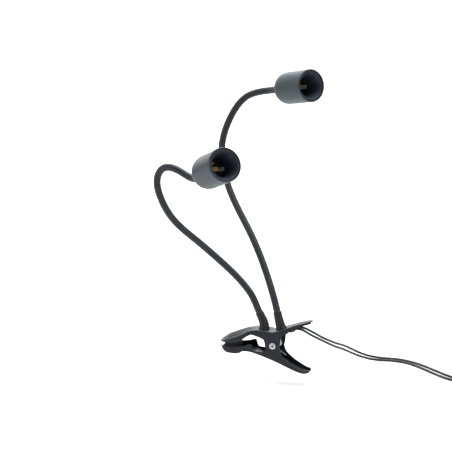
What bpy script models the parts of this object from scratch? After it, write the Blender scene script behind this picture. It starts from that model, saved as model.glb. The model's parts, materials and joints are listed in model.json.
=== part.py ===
"""Twin gooseneck clip lamp: spring clip, two jointed arms, two screw lampholders, leads.

Metres, +Z up.  X runs along the clip, from the jaws (-X) to the handles (+X), and the
clip's rivet lies along Y.  The origin is the middle of the upper pad's grip face.
"""

import math

import bmesh
import bpy
import numpy as np
from mathutils import Matrix, Vector

MM = 0.001

# ---------------------------------------------------------------- driving sizes
GAP = 0.3 * MM                  # air left between pieces that touch
FIT = 0.3 * MM                  # clearance all round a pin in its hole

SHEET = 1.0 * MM                # steel sheet of both clip levers
JAW_LENGTH = 69.5 * MM          # rivet to jaw tip
HANDLE_LENGTH = 47.5 * MM       # rivet to the upper handle's tip
CLIP_HALF_WIDTH = 14.0 * MM     # outside of the upper lever's ears
EDGE_RADIUS = 2.6 * MM          # bend between a lever's web and its walls
RIVET_X = 57.0 * MM             # rivet axis, from the origin
RIVET_R = 2.5 * MM
RIVET_HEAD_R = 4.15 * MM
RIVET_HEAD_T = 1.3 * MM
BUSH_WALL = 1.6 * MM
SPRING_WIRE_R = 0.9 * MM
SPRING_COIL_R = 6.0 * MM        # centre line of the coil
SPRING_TURNS = 6
SPRING_POINTS = 10              # along each turn
PAD_GRIP_GAP = 3.6 * MM         # thickness gripped at rest
PAD_BACK = 47.0 * MM            # rivet to the pads' inner end
PAD_FRONT = 63.6 * MM           # rivet to the pads' outer end
PAD_SHORTER = 1.2 * MM          # the upper pad's front end is this much shorter

HOSE_R = 4.65 * MM              # flexible arm
HOSE_SIDES_RES = 3               # twelve sides for hoses and boots
HOSE_STEP = 14.0 * MM           # between the points of a hose's line
BOOT_R = 6.65 * MM
BOOT_LENGTH = 22.0 * MM
STUD_R = 3.0 * MM
STUD_BORE_R = 1.5 * MM
STUD_IN_HOSE = 9.0 * MM
NUT_FLAT = 10.0 * MM            # across flats
NUT_THICK = 3.5 * MM
BALL_CLEARANCE = 0.7 * MM       # round the ball between two stretches of hose
FIRST_JOINT = 46.0 * MM         # along each arm, from the plate
LAST_JOINT = 26.0 * MM          # back from the cup along the arm

CUP_R = 20.5 * MM
CUP_STEPS = 28                  # round the cup and what it holds
CUP_WALL = 1.2 * MM
CUP_LENGTH = 43.7 * MM          # straight part, from the dome's centre to the mouth
INSERT_RECESS = 1.6 * MM
INSERT_DEPTH = 30.0 * MM
THREAD_R = 13.5 * MM            # lamp cap size: 27 mm
MOUTH_R = 17.0 * MM
LEAD_IN = 5.0 * MM
HOLDER_BASE_T = 4.5 * MM
CONTACT_T = 0.6 * MM

FLOOR_Z = -50.0 * MM            # surface that the leads lie on
LEAD_R = 1.6 * MM
WIRE_R = 1.2 * MM
MAINS_R = 2.5 * MM
COIL_MEAN_R = 30.0 * MM
COIL_HALF_WIDTH = 11.3 * MM     # four and a half turns of lead, side by side
COIL_HEIGHT = 10.0 * MM         # two layers
COIL_X = 366.2 * MM
COIL_Y = 0.0
TIE_WIDTH = 8.0 * MM
TIE_T = 1.1 * MM
TIE_ANGLE = 205.0               # degrees round the coil

SWITCH_X = 326.0 * MM
SWITCH_Y = 65.5 * MM
SWITCH_LENGTH = 68.0 * MM
SWITCH_WIDTH = 32.0 * MM
SWITCH_BASE_H = 10.0 * MM
SWITCH_COVER_H = 8.0 * MM
SWITCH_WALL = 1.8 * MM
SWITCH_FLOOR = 3.0 * MM
SWITCH_CORNER = 5.0 * MM
LEAD_SPACING = 10.0 * MM        # between the two lead holes
LEAD_HOLE_H = 4.8 * MM          # above the floor
MAINS_HOLE_H = 5.6 * MM
ROCKER_OFFSET = 7.0 * MM        # each side of the switch's middle
ROCKER_LENGTH = 14.2 * MM
ROCKER_WIDTH = 9.0 * MM
ROCKER_GAP = 0.5 * MM
ROCKER_TILT = 8.0               # degrees each side of level
ROCKER_PIN_R = 1.0 * MM
ROCKER_PIN_REACH = 1.4 * MM
ROCKER_SINK = 2.6 * MM          # pin below the cover's top
SCREW_R = 1.3 * MM
SCREW_HEAD_R = 2.5 * MM
SCREW_HEAD_T = 1.3 * MM
RELIEF_LENGTH = 24.0 * MM
RELIEF_R = 4.4 * MM
RELIEF_NECK_R = 3.3 * MM
RELIEF_TIP_R = 3.1 * MM

PLUG_LENGTH = 36.0 * MM
PLUG_WIDTH = 26.0 * MM
PLUG_THICK = 13.0 * MM
PLUG_TAIL = 22.0 * MM
PIN_R = 2.0 * MM
PIN_LENGTH = 19.0 * MM
PIN_SPACING = 18.6 * MM
PLUG_TAIL_Y = -46.3 * MM        # where the tail of the plug starts

PIVOT = Vector((RIVET_X, 0.0, 0.0))
SPRING_NEAR_Y = -2.6 * MM       # the coil's near end, and its upper leg
SPRING_UPPER_ANGLE = 122        # degrees round the coil where the legs leave it
SPRING_LOWER_ANGLE = 232
UPPER_LEG = 41.0 * MM
LOWER_LEG = 20.0 * MM

ANCHOR_X = 22.0 * MM            # lead anchor, from the rivet
ANCHOR_LENGTH = 7.0 * MM
ANCHOR_T = 5.8 * MM
ANCHOR_FAR = 5.2 * MM
ANCHOR_NEAR = -9.1 * MM
LEG_ROOM = 0.3 * MM             # between the spring's leg and the top of its slot
LEAD_DEPTH = 3.1 * MM           # of the lead holes below the anchor's top
LEAD_LANES = (("right", 2.7 * MM), ("left", -6.5 * MM))
LEAD_FIT = 0.5 * MM             # clearance round a lead in the anchor

# ---------------------------------------------------------------- scene helpers
COLLECTION_NAME = "clip_reading_lamp"


def clear_scene():
    for thing in list(bpy.data.objects):
        bpy.data.objects.remove(thing, do_unlink=True)
    for name in (COLLECTION_NAME, "cutters"):
        collection = bpy.data.collections.new(name)
        bpy.context.scene.collection.children.link(collection)


def group(name):
    return bpy.data.collections[name]


def material(name, color, roughness, metallic=0.0):
    found = bpy.data.materials.get(name)
    if found:
        return found
    made = bpy.data.materials.new(name)
    made.use_nodes = True
    shader = made.node_tree.nodes["Principled BSDF"]
    shader.inputs["Base Color"].default_value = (*color, 1.0)
    shader.inputs["Roughness"].default_value = roughness
    shader.inputs["Metallic"].default_value = metallic
    return made


def finish(name):
    looks = {
        "black_paint": ((0.012, 0.016, 0.022), 0.25, 0.0),
        "cup_paint": ((0.055, 0.075, 0.085), 0.45, 0.2),
        "hose_black": ((0.02, 0.024, 0.03), 0.5, 0.0),
        "rubber": ((0.01, 0.01, 0.012), 0.8, 0.0),
        "steel": ((0.62, 0.62, 0.6), 0.3, 1.0),
        "brass": ((0.6, 0.42, 0.18), 0.35, 1.0),
        "moulding": ((0.012, 0.018, 0.03), 0.5, 0.0),
        "lead_black": ((0.01, 0.01, 0.012), 0.4, 0.0),
    }
    color, roughness, metallic = looks[name]
    return material(name, color, roughness, metallic)


def put(obj, look, collection=COLLECTION_NAME):
    group(collection).objects.link(obj)
    if look:
        obj.data.materials.clear()
        obj.data.materials.append(finish(look))
    return obj


def mesh_object(name, bm, look, collection=COLLECTION_NAME, smooth=True):
    mesh = bpy.data.meshes.new(name)
    bmesh.ops.recalc_face_normals(bm, faces=bm.faces)
    bm.to_mesh(mesh)
    bm.free()
    if smooth:
        mesh.shade_smooth()
        mesh.set_sharp_from_angle(angle=math.radians(35))
    return put(bpy.data.objects.new(name, mesh), look, collection)


def stand(obj, position, axis):
    """Put an object's own origin at position, with its +Z along axis."""
    obj.rotation_mode = "QUATERNION"
    obj.rotation_quaternion = Vector(axis).to_track_quat("Z", "Y")
    obj.location = position
    return obj


def cut_by(obj, cutter):
    cutter.hide_render = True
    cutter.display_type = "WIRE"
    step = obj.modifiers.new("cut_" + cutter.name, "BOOLEAN")
    step.operation = "DIFFERENCE"
    step.solver = "EXACT"
    step.object = cutter
    return obj


def rod(name, radius, length, look, collection=COLLECTION_NAME, sides=24, start=0.0):
    """A plain cylinder along its own +Z, from start to start + length."""
    bm = bmesh.new()
    bmesh.ops.create_cone(bm, cap_ends=True, segments=sides, radius1=radius,
                          radius2=radius, depth=length)
    bmesh.ops.translate(bm, vec=(0.0, 0.0, start + length / 2), verts=bm.verts)
    return mesh_object(name, bm, look, collection)


def hole(name, radius, length, position, axis, sides=24, start=0.0):
    cutter = rod(name, radius, length, None, "cutters", sides, start)
    return stand(cutter, position, axis)


def ball_cutter(name, radius, position):
    bm = bmesh.new()
    bmesh.ops.create_uvsphere(bm, u_segments=24, v_segments=16, radius=radius)
    cutter = mesh_object(name, bm, None, "cutters")
    cutter.location = position
    return cutter


def turned(name, profile, look, closed, steps):
    """Turn a profile of (radius, height), listed down its outer side, about Z."""
    bm = bmesh.new()
    points = [bm.verts.new((radius, 0.0, height)) for radius, height in profile]
    for first, second in zip(points, points[1:]):
        bm.edges.new((first, second))
    if closed:
        bm.edges.new((points[-1], points[0]))
    mesh = bpy.data.meshes.new(name)
    bm.to_mesh(mesh)
    bm.free()
    obj = put(bpy.data.objects.new(name, mesh), look)
    screw = obj.modifiers.new("turn", "SCREW")
    screw.axis = "Z"
    screw.angle = math.tau
    screw.steps = steps
    screw.render_steps = steps
    screw.use_merge_vertices = True
    screw.merge_threshold = 0.00001
    screw.use_smooth_shade = True
    return obj


def block(name, size, look, corner=0.0, segments=2, collection=COLLECTION_NAME):
    """A box centred on X and Y and standing on Z = 0, with bevelled edges."""
    bm = bmesh.new()
    bmesh.ops.create_cube(bm, size=1.0)
    bmesh.ops.scale(bm, vec=size, verts=bm.verts)
    bmesh.ops.translate(bm, vec=(0.0, 0.0, size[2] / 2), verts=bm.verts)
    obj = mesh_object(name, bm, look, collection, smooth=False)
    if corner:
        bevel = obj.modifiers.new("edges", "BEVEL")
        bevel.width = corner
        bevel.segments = segments
    return obj


def outline(name, points, thickness, look, collection=COLLECTION_NAME):
    """A flat closed outline in XY, thickness deep, standing on Z = 0."""
    curve = bpy.data.curves.new(name, "CURVE")
    curve.dimensions = "2D"
    curve.fill_mode = "BOTH"
    curve.extrude = thickness / 2
    line = curve.splines.new("POLY")
    line.points.add(len(points) - 1)
    for point, (x, y) in zip(line.points, points):
        point.co = (x, y, 0.0, 1.0)
    line.use_cyclic_u = True
    obj = put(bpy.data.objects.new(name, curve), look, collection)
    obj.location = (0.0, 0.0, thickness / 2)
    return as_mesh(obj)


def as_mesh(obj):
    """Replace a curve object by the same shape as a welded mesh object."""
    bpy.context.view_layer.update()
    name = obj.name
    home = obj.users_collection[0]
    evaluated = obj.evaluated_get(bpy.context.evaluated_depsgraph_get())
    mesh = bpy.data.meshes.new_from_object(evaluated)
    matrix = obj.matrix_world.copy()
    bpy.data.objects.remove(obj, do_unlink=True)
    bm = bmesh.new()
    bm.from_mesh(mesh)
    bmesh.ops.remove_doubles(bm, verts=bm.verts, dist=0.00001)
    bmesh.ops.recalc_face_normals(bm, faces=bm.faces)
    bm.to_mesh(mesh)
    bm.free()
    mesh.transform(matrix)
    made = bpy.data.objects.new(name, mesh)
    home.objects.link(made)
    return made


def tube(name, path, radius, look, sides_res, radii=None):
    """A solid round tube along a path, with an own radius at each point if given."""
    curve = bpy.data.curves.new(name, "CURVE")
    curve.dimensions = "3D"
    curve.bevel_depth = radius
    curve.bevel_resolution = sides_res
    curve.use_fill_caps = True
    curve.twist_mode = "MINIMUM"
    line = curve.splines.new("POLY")
    line.points.add(len(path) - 1)
    for index, (point, place) in enumerate(zip(line.points, path)):
        point.co = (*place, 1.0)
        point.radius = radii[index] / radius if radii else 1.0
    return put(bpy.data.objects.new(name, curve), look)


def smooth_curve(points, step):
    """Points every step along a natural cubic spline through the given points."""
    given = np.array(points, dtype=float)
    chords = np.linalg.norm(np.diff(given, axis=0), axis=1)
    knots = np.concatenate([[0.0], np.cumsum(chords)])
    count = len(knots)
    matrix = np.zeros((count, count))
    right = np.zeros((count, 3))
    matrix[0, 0] = 1.0
    matrix[-1, -1] = 1.0
    for i in range(1, count - 1):
        before = knots[i] - knots[i - 1]
        after = knots[i + 1] - knots[i]
        matrix[i, i - 1:i + 2] = (before, 2 * (before + after), after)
        slope_after = (given[i + 1] - given[i]) / after
        slope_before = (given[i] - given[i - 1]) / before
        right[i] = 6 * (slope_after - slope_before)
    bend = np.linalg.solve(matrix, right)

    def at(value):
        i = min(max(int(np.searchsorted(knots, value)) - 1, 0), count - 2)
        width = knots[i + 1] - knots[i]
        a = (knots[i + 1] - value) / width
        b = 1.0 - a
        curved = ((a ** 3 - a) * bend[i] + (b ** 3 - b) * bend[i + 1]) * width ** 2 / 6
        return a * given[i] + b * given[i + 1] + curved

    fine = np.array([at(value) for value in np.linspace(0.0, knots[-1], 40 * count)])
    run = np.concatenate([[0.0], np.cumsum(np.linalg.norm(np.diff(fine, axis=0), axis=1))])
    total = run[-1]
    wanted = np.linspace(0.0, total, max(int(round(total / step)), 2) + 1)
    return np.column_stack([np.interp(wanted, run, fine[:, k]) for k in range(3)])


def arc_lengths(path):
    return np.concatenate([[0.0], np.cumsum(np.linalg.norm(np.diff(path, axis=0), axis=1))])


def point_at(path, distance):
    run = arc_lengths(path)
    return Vector([float(np.interp(distance, run, path[:, k])) for k in range(3)])


def direction_at(path, distance):
    reach = 1.0 * MM
    return (point_at(path, distance + reach) - point_at(path, distance - reach)).normalized()


def stretch(path, start, end, step):
    """Points along part of a path, with short end pieces that keep both caps square."""
    count = max(int(round((end - start) / step)), 2)
    places = [start + (end - start) * i / count for i in range(count + 1)]
    places.insert(1, start + 0.8 * MM)
    places.insert(-1, end - 0.8 * MM)
    return [point_at(path, place) for place in places]


# ---------------------------------------------------------------- the clip's levers
def line_height(line, x):
    """Height of an outline given as (x, z) points with x rising."""
    xs = [point[0] for point in line]
    zs = [point[1] for point in line]
    return float(np.interp(x, xs, zs))


def jaw(part):
    return -part * JAW_LENGTH


def handle(part):
    return part * HANDLE_LENGTH


LEFT_FOOT_X = -14.6 * MM        # from the rivet
RIGHT_FOOT_X = 7.9 * MM
SEAT = 7.0 * MM                 # flat length each side of a foot

UPPER_WEB = [
    (jaw(1.0), 1.7 * MM), (jaw(0.96), 2.2 * MM), (jaw(0.86), 4.4 * MM),
    (jaw(0.76), 6.6 * MM), (jaw(0.58), 12.4 * MM), (jaw(0.47), 16.5 * MM),
    (jaw(0.38), 18.2 * MM), (LEFT_FOOT_X - SEAT, 18.7 * MM),
    (LEFT_FOOT_X + SEAT, 18.1 * MM), (RIGHT_FOOT_X - SEAT - 2.6 * MM, 17.3 * MM),
    (RIGHT_FOOT_X - SEAT, 17.9 * MM), (RIGHT_FOOT_X + SEAT, 22.6 * MM),
    (handle(0.44), 25.0 * MM), (handle(0.64), 28.6 * MM), (handle(0.84), 31.6 * MM),
    (handle(0.95), 33.0 * MM), (handle(1.0), 33.4 * MM),
]
UPPER_RIM = [
    (jaw(1.0), 0.4 * MM), (jaw(0.8), 0.4 * MM), (jaw(0.71), 1.5 * MM),
    (jaw(0.61), 4.1 * MM), (jaw(0.52), 8.0 * MM), (jaw(0.46), 10.9 * MM),
    (jaw(0.4), 12.5 * MM), (jaw(0.3), 10.9 * MM), (-13.7 * MM, 8.3 * MM), (-11.2 * MM, 6.6 * MM),
    (-9.9 * MM, 0.0), (-8.6 * MM, -3.6 * MM), (-5.6 * MM, -6.5 * MM),
    (-2.0 * MM, -7.8 * MM), (2.0 * MM, -7.8 * MM), (5.6 * MM, -6.5 * MM),
    (8.6 * MM, -3.6 * MM), (9.9 * MM, 0.0), (10.3 * MM, 11.6 * MM),
    (13.7 * MM, 15.3 * MM), (handle(0.49), 20.8 * MM), (handle(0.7), 26.0 * MM),
    (handle(0.88), 28.9 * MM), (handle(1.0), 30.5 * MM),
]
UPPER_HALF = [
    (jaw(1.0), -4.5 * MM), (jaw(0.97), -1.6 * MM), (jaw(0.92), 1.2 * MM),
    (jaw(0.8), 2.6 * MM), (jaw(0.6), 2.4 * MM), (jaw(0.45), 1.2 * MM),
    (-17.0 * MM, 0.0), (12.0 * MM, 0.0), (handle(0.4), -2.2 * MM),
    (handle(0.7), -4.6 * MM), (handle(0.9), -6.2 * MM), (handle(0.97), -8.0 * MM),
    (handle(1.0), -9.5 * MM),
]
UPPER_CROWN = [
    (jaw(1.0), 0.6 * MM), (jaw(0.94), 2.8 * MM), (jaw(0.84), 5.0 * MM),
    (jaw(0.72), 5.4 * MM), (jaw(0.55), 4.2 * MM), (jaw(0.42), 1.6 * MM),
    (LEFT_FOOT_X - SEAT - 1.0 * MM, 0.0), (RIGHT_FOOT_X + SEAT, 0.0),
    (handle(0.6), 0.5 * MM), (handle(1.0), 0.4 * MM),
]

LOWER_REACH = 0.967             # the lower handle is a little shorter than the upper
LOWER_WEB = [
    (jaw(1.0), -7.3 * MM), (jaw(0.96), -9.6 * MM), (jaw(0.92), -11.6 * MM),
    (jaw(0.85), -13.4 * MM), (jaw(0.7), -13.8 * MM), (jaw(0.62), -12.3 * MM),
    (jaw(0.57), -10.4 * MM), (jaw(0.5), -10.2 * MM), (jaw(0.39), -11.5 * MM),
    (-11.6 * MM, -16.4 * MM), (3.9 * MM, -21.6 * MM), (17.2 * MM, -27.1 * MM),
    (handle(0.64), -32.4 * MM), (handle(0.82), -34.3 * MM),
    (handle(0.93), -33.6 * MM), (handle(LOWER_REACH), -32.2 * MM),
]
LOWER_RIM = [
    (jaw(1.0), -4.6 * MM), (jaw(0.74), -4.9 * MM), (jaw(0.61), -3.6 * MM),
    (jaw(0.52), -2.2 * MM), (jaw(0.43), -0.2 * MM), (jaw(0.4), -1.4 * MM),
    (-27.0 * MM, -5.2 * MM), (-24.8 * MM, -8.6 * MM), (-20.0 * MM, -9.4 * MM), (-14.0 * MM, -9.4 * MM),
    (-10.6 * MM, -6.8 * MM), (-8.0 * MM, 0.0), (-5.8 * MM, 5.2 * MM),
    (-2.4 * MM, 7.4 * MM), (2.4 * MM, 7.4 * MM), (5.8 * MM, 5.2 * MM),
    (8.0 * MM, 0.0), (9.6 * MM, -7.8 * MM), (12.2 * MM, -12.8 * MM),
    (handle(0.38), -17.8 * MM), (handle(0.51), -22.2 * MM),
    (handle(0.65), -25.8 * MM), (handle(0.82), -29.6 * MM),
    (handle(LOWER_REACH), -30.6 * MM),
]
LOWER_HALF = [
    (jaw(1.0), -4.0 * MM), (jaw(0.97), -0.8 * MM), (jaw(0.92), 2.6 * MM),
    (jaw(0.8), 4.2 * MM), (jaw(0.6), 3.8 * MM), (jaw(0.47), 2.2 * MM),
    (jaw(0.38), 0.6 * MM), (-22.0 * MM, 0.0), (12.0 * MM, 0.0),
    (handle(0.45), -0.8 * MM), (handle(0.8), -2.2 * MM), (handle(0.93), -4.6 * MM),
    (handle(LOWER_REACH), -7.6 * MM),
]
LOWER_CROWN = [
    (jaw(1.0), 0.3 * MM), (jaw(0.85), 1.6 * MM), (jaw(0.6), 1.2 * MM),
    (jaw(0.38), 0.0), (handle(0.4), 0.0), (handle(0.8), 1.0 * MM),
    (handle(LOWER_REACH), 0.4 * MM),
]
SIDE_PLAY = 0.4 * MM            # between the upper ears and the lower lobes
LOWER_HALF_WIDTH = CLIP_HALF_WIDTH - SHEET - SIDE_PLAY

UPPER = {"web": UPPER_WEB, "rim": UPPER_RIM, "half": UPPER_HALF, "crown": UPPER_CROWN,
         "width": CLIP_HALF_WIDTH, "up": 1.0}
LOWER = {"web": LOWER_WEB, "rim": LOWER_RIM, "half": LOWER_HALF, "crown": LOWER_CROWN,
         "width": LOWER_HALF_WIDTH, "up": -1.0}
ARC_POINTS = 3
NEAREST_STATIONS = 0.5 * MM     # along the clip
STATION_STEP = 9.0 * MM
WEB_POINTS = 4


def lever_section(lever, x, inset=0.0):
    """Half of a lever's cross-section at x, from the rim of a wall to the middle line."""
    up = lever["up"]
    half = lever["width"] + line_height(lever["half"], x) - inset
    top = line_height(lever["web"], x) * up - inset
    rim = line_height(lever["rim"], x) * up
    crown = line_height(lever["crown"], x)
    radius = min(EDGE_RADIUS, 0.45 * (top - rim + inset), 0.45 * half)
    radius = max(radius - inset, 0.2 * MM)
    points = [(half, rim), (half, (rim + top - radius) / 2)]
    for i in range(ARC_POINTS):
        angle = math.pi / 2 * i / (ARC_POINTS - 1)
        points.append((half - radius + radius * math.cos(angle),
                       top - radius + radius * math.sin(angle)))
    flat = half - radius
    for i in range(1, WEB_POINTS + 1):
        across = flat * (1.0 - i / WEB_POINTS)
        lift = crown * math.cos(math.pi / 2 * across / flat) ** 1.2
        points.append((across, top + lift))
    return [(y, z * up) for y, z in points]


def full_section(lever, x, inset=0.0):
    half = lever_section(lever, x, inset)
    return [(-y, z) for y, z in half] + [(y, z) for y, z in reversed(half[:-1])]


def stations(lever, low, high, finest):
    """Every corner of the lever's outlines, and more where they are far apart."""
    marks = {low, high}
    for key in ("web", "rim", "half", "crown"):
        marks.update(x for x, _ in lever[key] if low < x < high)
    ordered = sorted(marks)
    kept = [ordered[0]]
    for x in ordered[1:]:
        if x - kept[-1] > NEAREST_STATIONS:
            kept.append(x)
    kept[-1] = ordered[-1]
    spaced = [kept[0]]
    for x in kept[1:]:
        pieces = max(1, int(math.ceil((x - spaced[-1]) / finest)))
        before = spaced[-1]
        spaced.extend(before + (x - before) * (i + 1) / pieces for i in range(pieces))
    return spaced


def lever_shell(name, lever):
    low = lever["web"][0][0]
    high = lever["web"][-1][0]
    bm = bmesh.new()
    rows = []
    for x in stations(lever, low, high, STATION_STEP):
        rows.append([bm.verts.new((x + RIVET_X, y, z)) for y, z in full_section(lever, x)])
    for row, following in zip(rows, rows[1:]):
        for k in range(len(row) - 1):
            face = (row[k], row[k + 1], following[k + 1], following[k])
            bm.faces.new(face[::-1] if lever["up"] > 0 else face)
    mesh = bpy.data.meshes.new(name)
    bm.to_mesh(mesh)
    bm.free()
    mesh.shade_smooth()
    obj = put(bpy.data.objects.new(name, mesh), "black_paint")
    shell = obj.modifiers.new("sheet", "SOLIDIFY")
    shell.thickness = SHEET
    shell.offset = -1.0
    shell.use_even_offset = True
    return obj


def pad(name, lever, face_z, front):
    """Rubber that fills a jaw's end, from its flat grip face to the sheet inside."""
    inset = SHEET + GAP
    places = stations(lever, -front, -PAD_BACK, STATION_STEP)
    bm = bmesh.new()
    rings = []
    for x in places:
        section = full_section(lever, x, inset)
        inner = [(y, z) for y, z in section if (z - face_z) * lever["up"] > 0.2 * MM]
        edge = inner[0][0]
        ring = [(edge, face_z)] + inner + [(-edge, face_z)]
        rings.append((x, ring))
    count = min(len(ring) for _, ring in rings)
    loops = []
    for x, ring in rings:
        middle = len(ring) // 2
        kept = ring[:1] + ring[middle - (count - 3) // 2:middle + (count - 3) // 2 + 1]
        kept = kept + ring[-1:]
        loops.append([bm.verts.new((x + RIVET_X, y, z)) for y, z in kept])
    for ring, following in zip(loops, loops[1:]):
        for k in range(len(ring)):
            after = (k + 1) % len(ring)
            bm.faces.new((ring[k], ring[after], following[after], following[k]))
    bm.faces.new(loops[0])
    bm.faces.new(loops[-1][::-1])
    return mesh_object(name, bm, "rubber")


def seat_point(x):
    return Vector((RIVET_X + x, 0.0, line_height(UPPER_WEB, x)))


def seat_normal(x):
    reach = 2.0 * MM
    rise = line_height(UPPER_WEB, x + reach) - line_height(UPPER_WEB, x - reach)
    return Vector((-rise, 0.0, 2 * reach)).normalized()


def make_levers():
    upper = lever_shell("upper_lever", UPPER)
    lower = lever_shell("lower_lever", LOWER)
    through = 4 * CLIP_HALF_WIDTH
    for obj in (upper, lower):
        cut_by(obj, hole(obj.name + "_rivet_hole", RIVET_R + FIT, through, PIVOT, (0, 1, 0),
                         start=-through / 2))
    for side, x in (("left", LEFT_FOOT_X), ("right", RIGHT_FOOT_X)):
        cut_by(upper, hole(side + "_foot_hole", STUD_R + FIT, 8 * SHEET, seat_point(x),
                           seat_normal(x), start=-4 * SHEET))
    pad("upper_jaw_pad", UPPER, 0.0, PAD_FRONT - PAD_SHORTER)
    pad("lower_jaw_pad", LOWER, -PAD_GRIP_GAP, PAD_FRONT)


def make_rivet():
    outer = CLIP_HALF_WIDTH + GAP
    dimple = 1.2 * MM
    profile = [
        (0.0, outer + 0.5 * RIVET_HEAD_T), (0.35 * dimple, outer + 0.5 * RIVET_HEAD_T),
        (dimple, outer + RIVET_HEAD_T), (0.7 * RIVET_HEAD_R, outer + RIVET_HEAD_T),
        (RIVET_HEAD_R, outer + 0.45 * RIVET_HEAD_T), (RIVET_HEAD_R, outer),
        (RIVET_R, outer), (RIVET_R, -outer), (0.86 * RIVET_HEAD_R, -outer),
        (0.86 * RIVET_HEAD_R, -outer - 0.4 * RIVET_HEAD_T),
        (0.5 * RIVET_HEAD_R, -outer - RIVET_HEAD_T), (0.0, -outer - RIVET_HEAD_T),
    ]
    stand(turned("pivot_rivet", profile, "steel", closed=False, steps=20), PIVOT, (0, -1, 0))
    inside = LOWER_HALF_WIDTH - SHEET - GAP
    bore = RIVET_R + FIT
    ring = [(bore + BUSH_WALL, inside), (bore + BUSH_WALL, -inside), (bore, -inside), (bore, inside)]
    stand(turned("pivot_bush", ring, "steel", closed=True, steps=20), PIVOT, (0, -1, 0))


def coil_point(angle, y):
    return (RIVET_X + SPRING_COIL_R * math.cos(angle), y, SPRING_COIL_R * math.sin(angle))


def leg_point(angle, distance, y):
    """A point on the straight leg that touches the coil at the given angle."""
    x, _, z = coil_point(angle, y)
    return (x - distance * math.sin(angle), y, z + distance * math.cos(angle))


def make_spring():
    """Torsion spring round the bush: one leg under the handle, one in the lower channel."""
    pitch = 2 * SPRING_WIRE_R + 0.1 * MM
    upper_angle = math.radians(SPRING_UPPER_ANGLE)
    lower_angle = math.radians(SPRING_LOWER_ANGLE)
    sweep = lower_angle - upper_angle + math.tau * (SPRING_TURNS - 1)
    count = int(SPRING_POINTS * sweep / math.tau)
    legs = (1.0, 0.6, 0.25)
    path = [leg_point(upper_angle, -UPPER_LEG * part, SPRING_NEAR_Y) for part in legs]
    for i in range(count + 1):
        angle = upper_angle + sweep * i / count
        path.append(coil_point(angle, SPRING_NEAR_Y + pitch * sweep / math.tau * i / count))
    far_y = path[-1][1]
    path += [leg_point(lower_angle, LOWER_LEG * part, far_y) for part in reversed(legs)]
    tube("torsion_spring", path, SPRING_WIRE_R, "steel", 2)


# ---------------------------------------------------------------- flexible arms
RIGHT_ROUTE = [
    (57.6, 4.0, 43.0), (47.5, 11.9, 69.5), (37.0, 20.2, 91.8), (12.7, 37.0, 133.5),
    (-15.2, 54.6, 173.2), (-34.9, 69.3, 218.2), (-37.9, 75.9, 242.9),
    (-33.0, 82.2, 267.8), (-22.6, 87.6, 290.2), (-5.0, 89.8, 307.2),
]
LEFT_ROUTE = [
    (35.4, 2.6, 37.5), (25.7, 5.2, 56.4), (12.7, 6.0, 73.2), (-16.5, -0.6, 103.0),
    (-43.8, -16.0, 131.3), (-68.5, -34.4, 161.0), (-80.0, -44.0, 188.0),
    (-82.2, -49.0, 210.0), (-73.5, -53.6, 224.6), (-58.0, -57.4, 226.6),
]
ARMS = {
    "right": {"foot_x": RIGHT_FOOT_X, "route": RIGHT_ROUTE,
              "pole": (41.8, 72.8, 316.8), "axis": (0.779, -0.616, 0.116),
              "middle": 0.50},
    "left": {"foot_x": LEFT_FOOT_X, "route": LEFT_ROUTE,
             "pole": (-13.9, -79.5, 222.8), "axis": (0.67, -0.682, 0.294),
             "middle": 0.52},
}
BALL_ANGLES = (30, 60, 90)      # degrees from a ball end's rim to its tip
BALL_TIP = 0.04                 # size of the flat at the tip, of the hose's radius
NECK_STRAIGHT = (24.0 * MM, 12.0 * MM, 0.0)
FOOT_STRAIGHT = (0.0, 2.5 * MM)


def arm_path(arm):
    """Centre line of an arm, from the plate to the back of its cup."""
    foot = seat_point(arm["foot_x"])
    normal = seat_normal(arm["foot_x"])
    pole = Vector(arm["pole"]) * MM
    axis = Vector(arm["axis"]).normalized()
    points = [foot + normal * distance for distance in FOOT_STRAIGHT]
    points += [Vector(point) * MM for point in arm["route"]]
    points += [pole - axis * distance for distance in NECK_STRAIGHT]
    return smooth_curve([tuple(point) for point in points], 2.0 * MM)


def arm_joints(arm, path):
    total = arc_lengths(path)[-1]
    return [FIRST_JOINT, arm["middle"] * total, total - LAST_JOINT]


def hose_piece(name, path, start, end, ball_start, ball_end):
    """A stretch of hose; a ball end is round, its other end is a socket for the ball."""
    points = stretch(path, start, end, HOSE_STEP)
    radii = [HOSE_R] * len(points)
    if ball_end:
        tip = direction_at(path, end)
        for angle in BALL_ANGLES:
            turn = math.radians(angle)
            points.append(point_at(path, end) + tip * HOSE_R * math.sin(turn))
            radii.append(HOSE_R * max(math.cos(turn), BALL_TIP))
    obj = as_mesh(tube(name, [tuple(p) for p in points], HOSE_R, "hose_black",
                       HOSE_SIDES_RES, radii))
    if ball_start:
        socket = ball_cutter(name + "_socket", HOSE_R + BALL_CLEARANCE,
                             point_at(path, start))
        cut_by(obj, socket)
    return obj


def hex_nut(name, position, axis):
    bm = bmesh.new()
    across = NUT_FLAT / math.cos(math.pi / 6) / 2
    bmesh.ops.create_cone(bm, cap_ends=True, segments=6, radius1=across, radius2=across,
                          depth=NUT_THICK)
    bmesh.ops.translate(bm, vec=(0, 0, NUT_THICK / 2), verts=bm.verts)
    nut = stand(mesh_object(name, bm, "steel", smooth=False), position, axis)
    return cut_by(nut, hole(name + "_bore", STUD_R + FIT, 4 * NUT_THICK, position, axis,
                            start=-2 * NUT_THICK))


def stud(name, position, axis, behind, ahead):
    """Hollow threaded stud from behind to ahead of position, along axis."""
    profile = [(STUD_R, ahead), (STUD_R, -behind), (STUD_BORE_R, -behind),
               (STUD_BORE_R, ahead)]
    return stand(turned(name, profile, "steel", closed=True, steps=20), position, axis)


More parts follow.
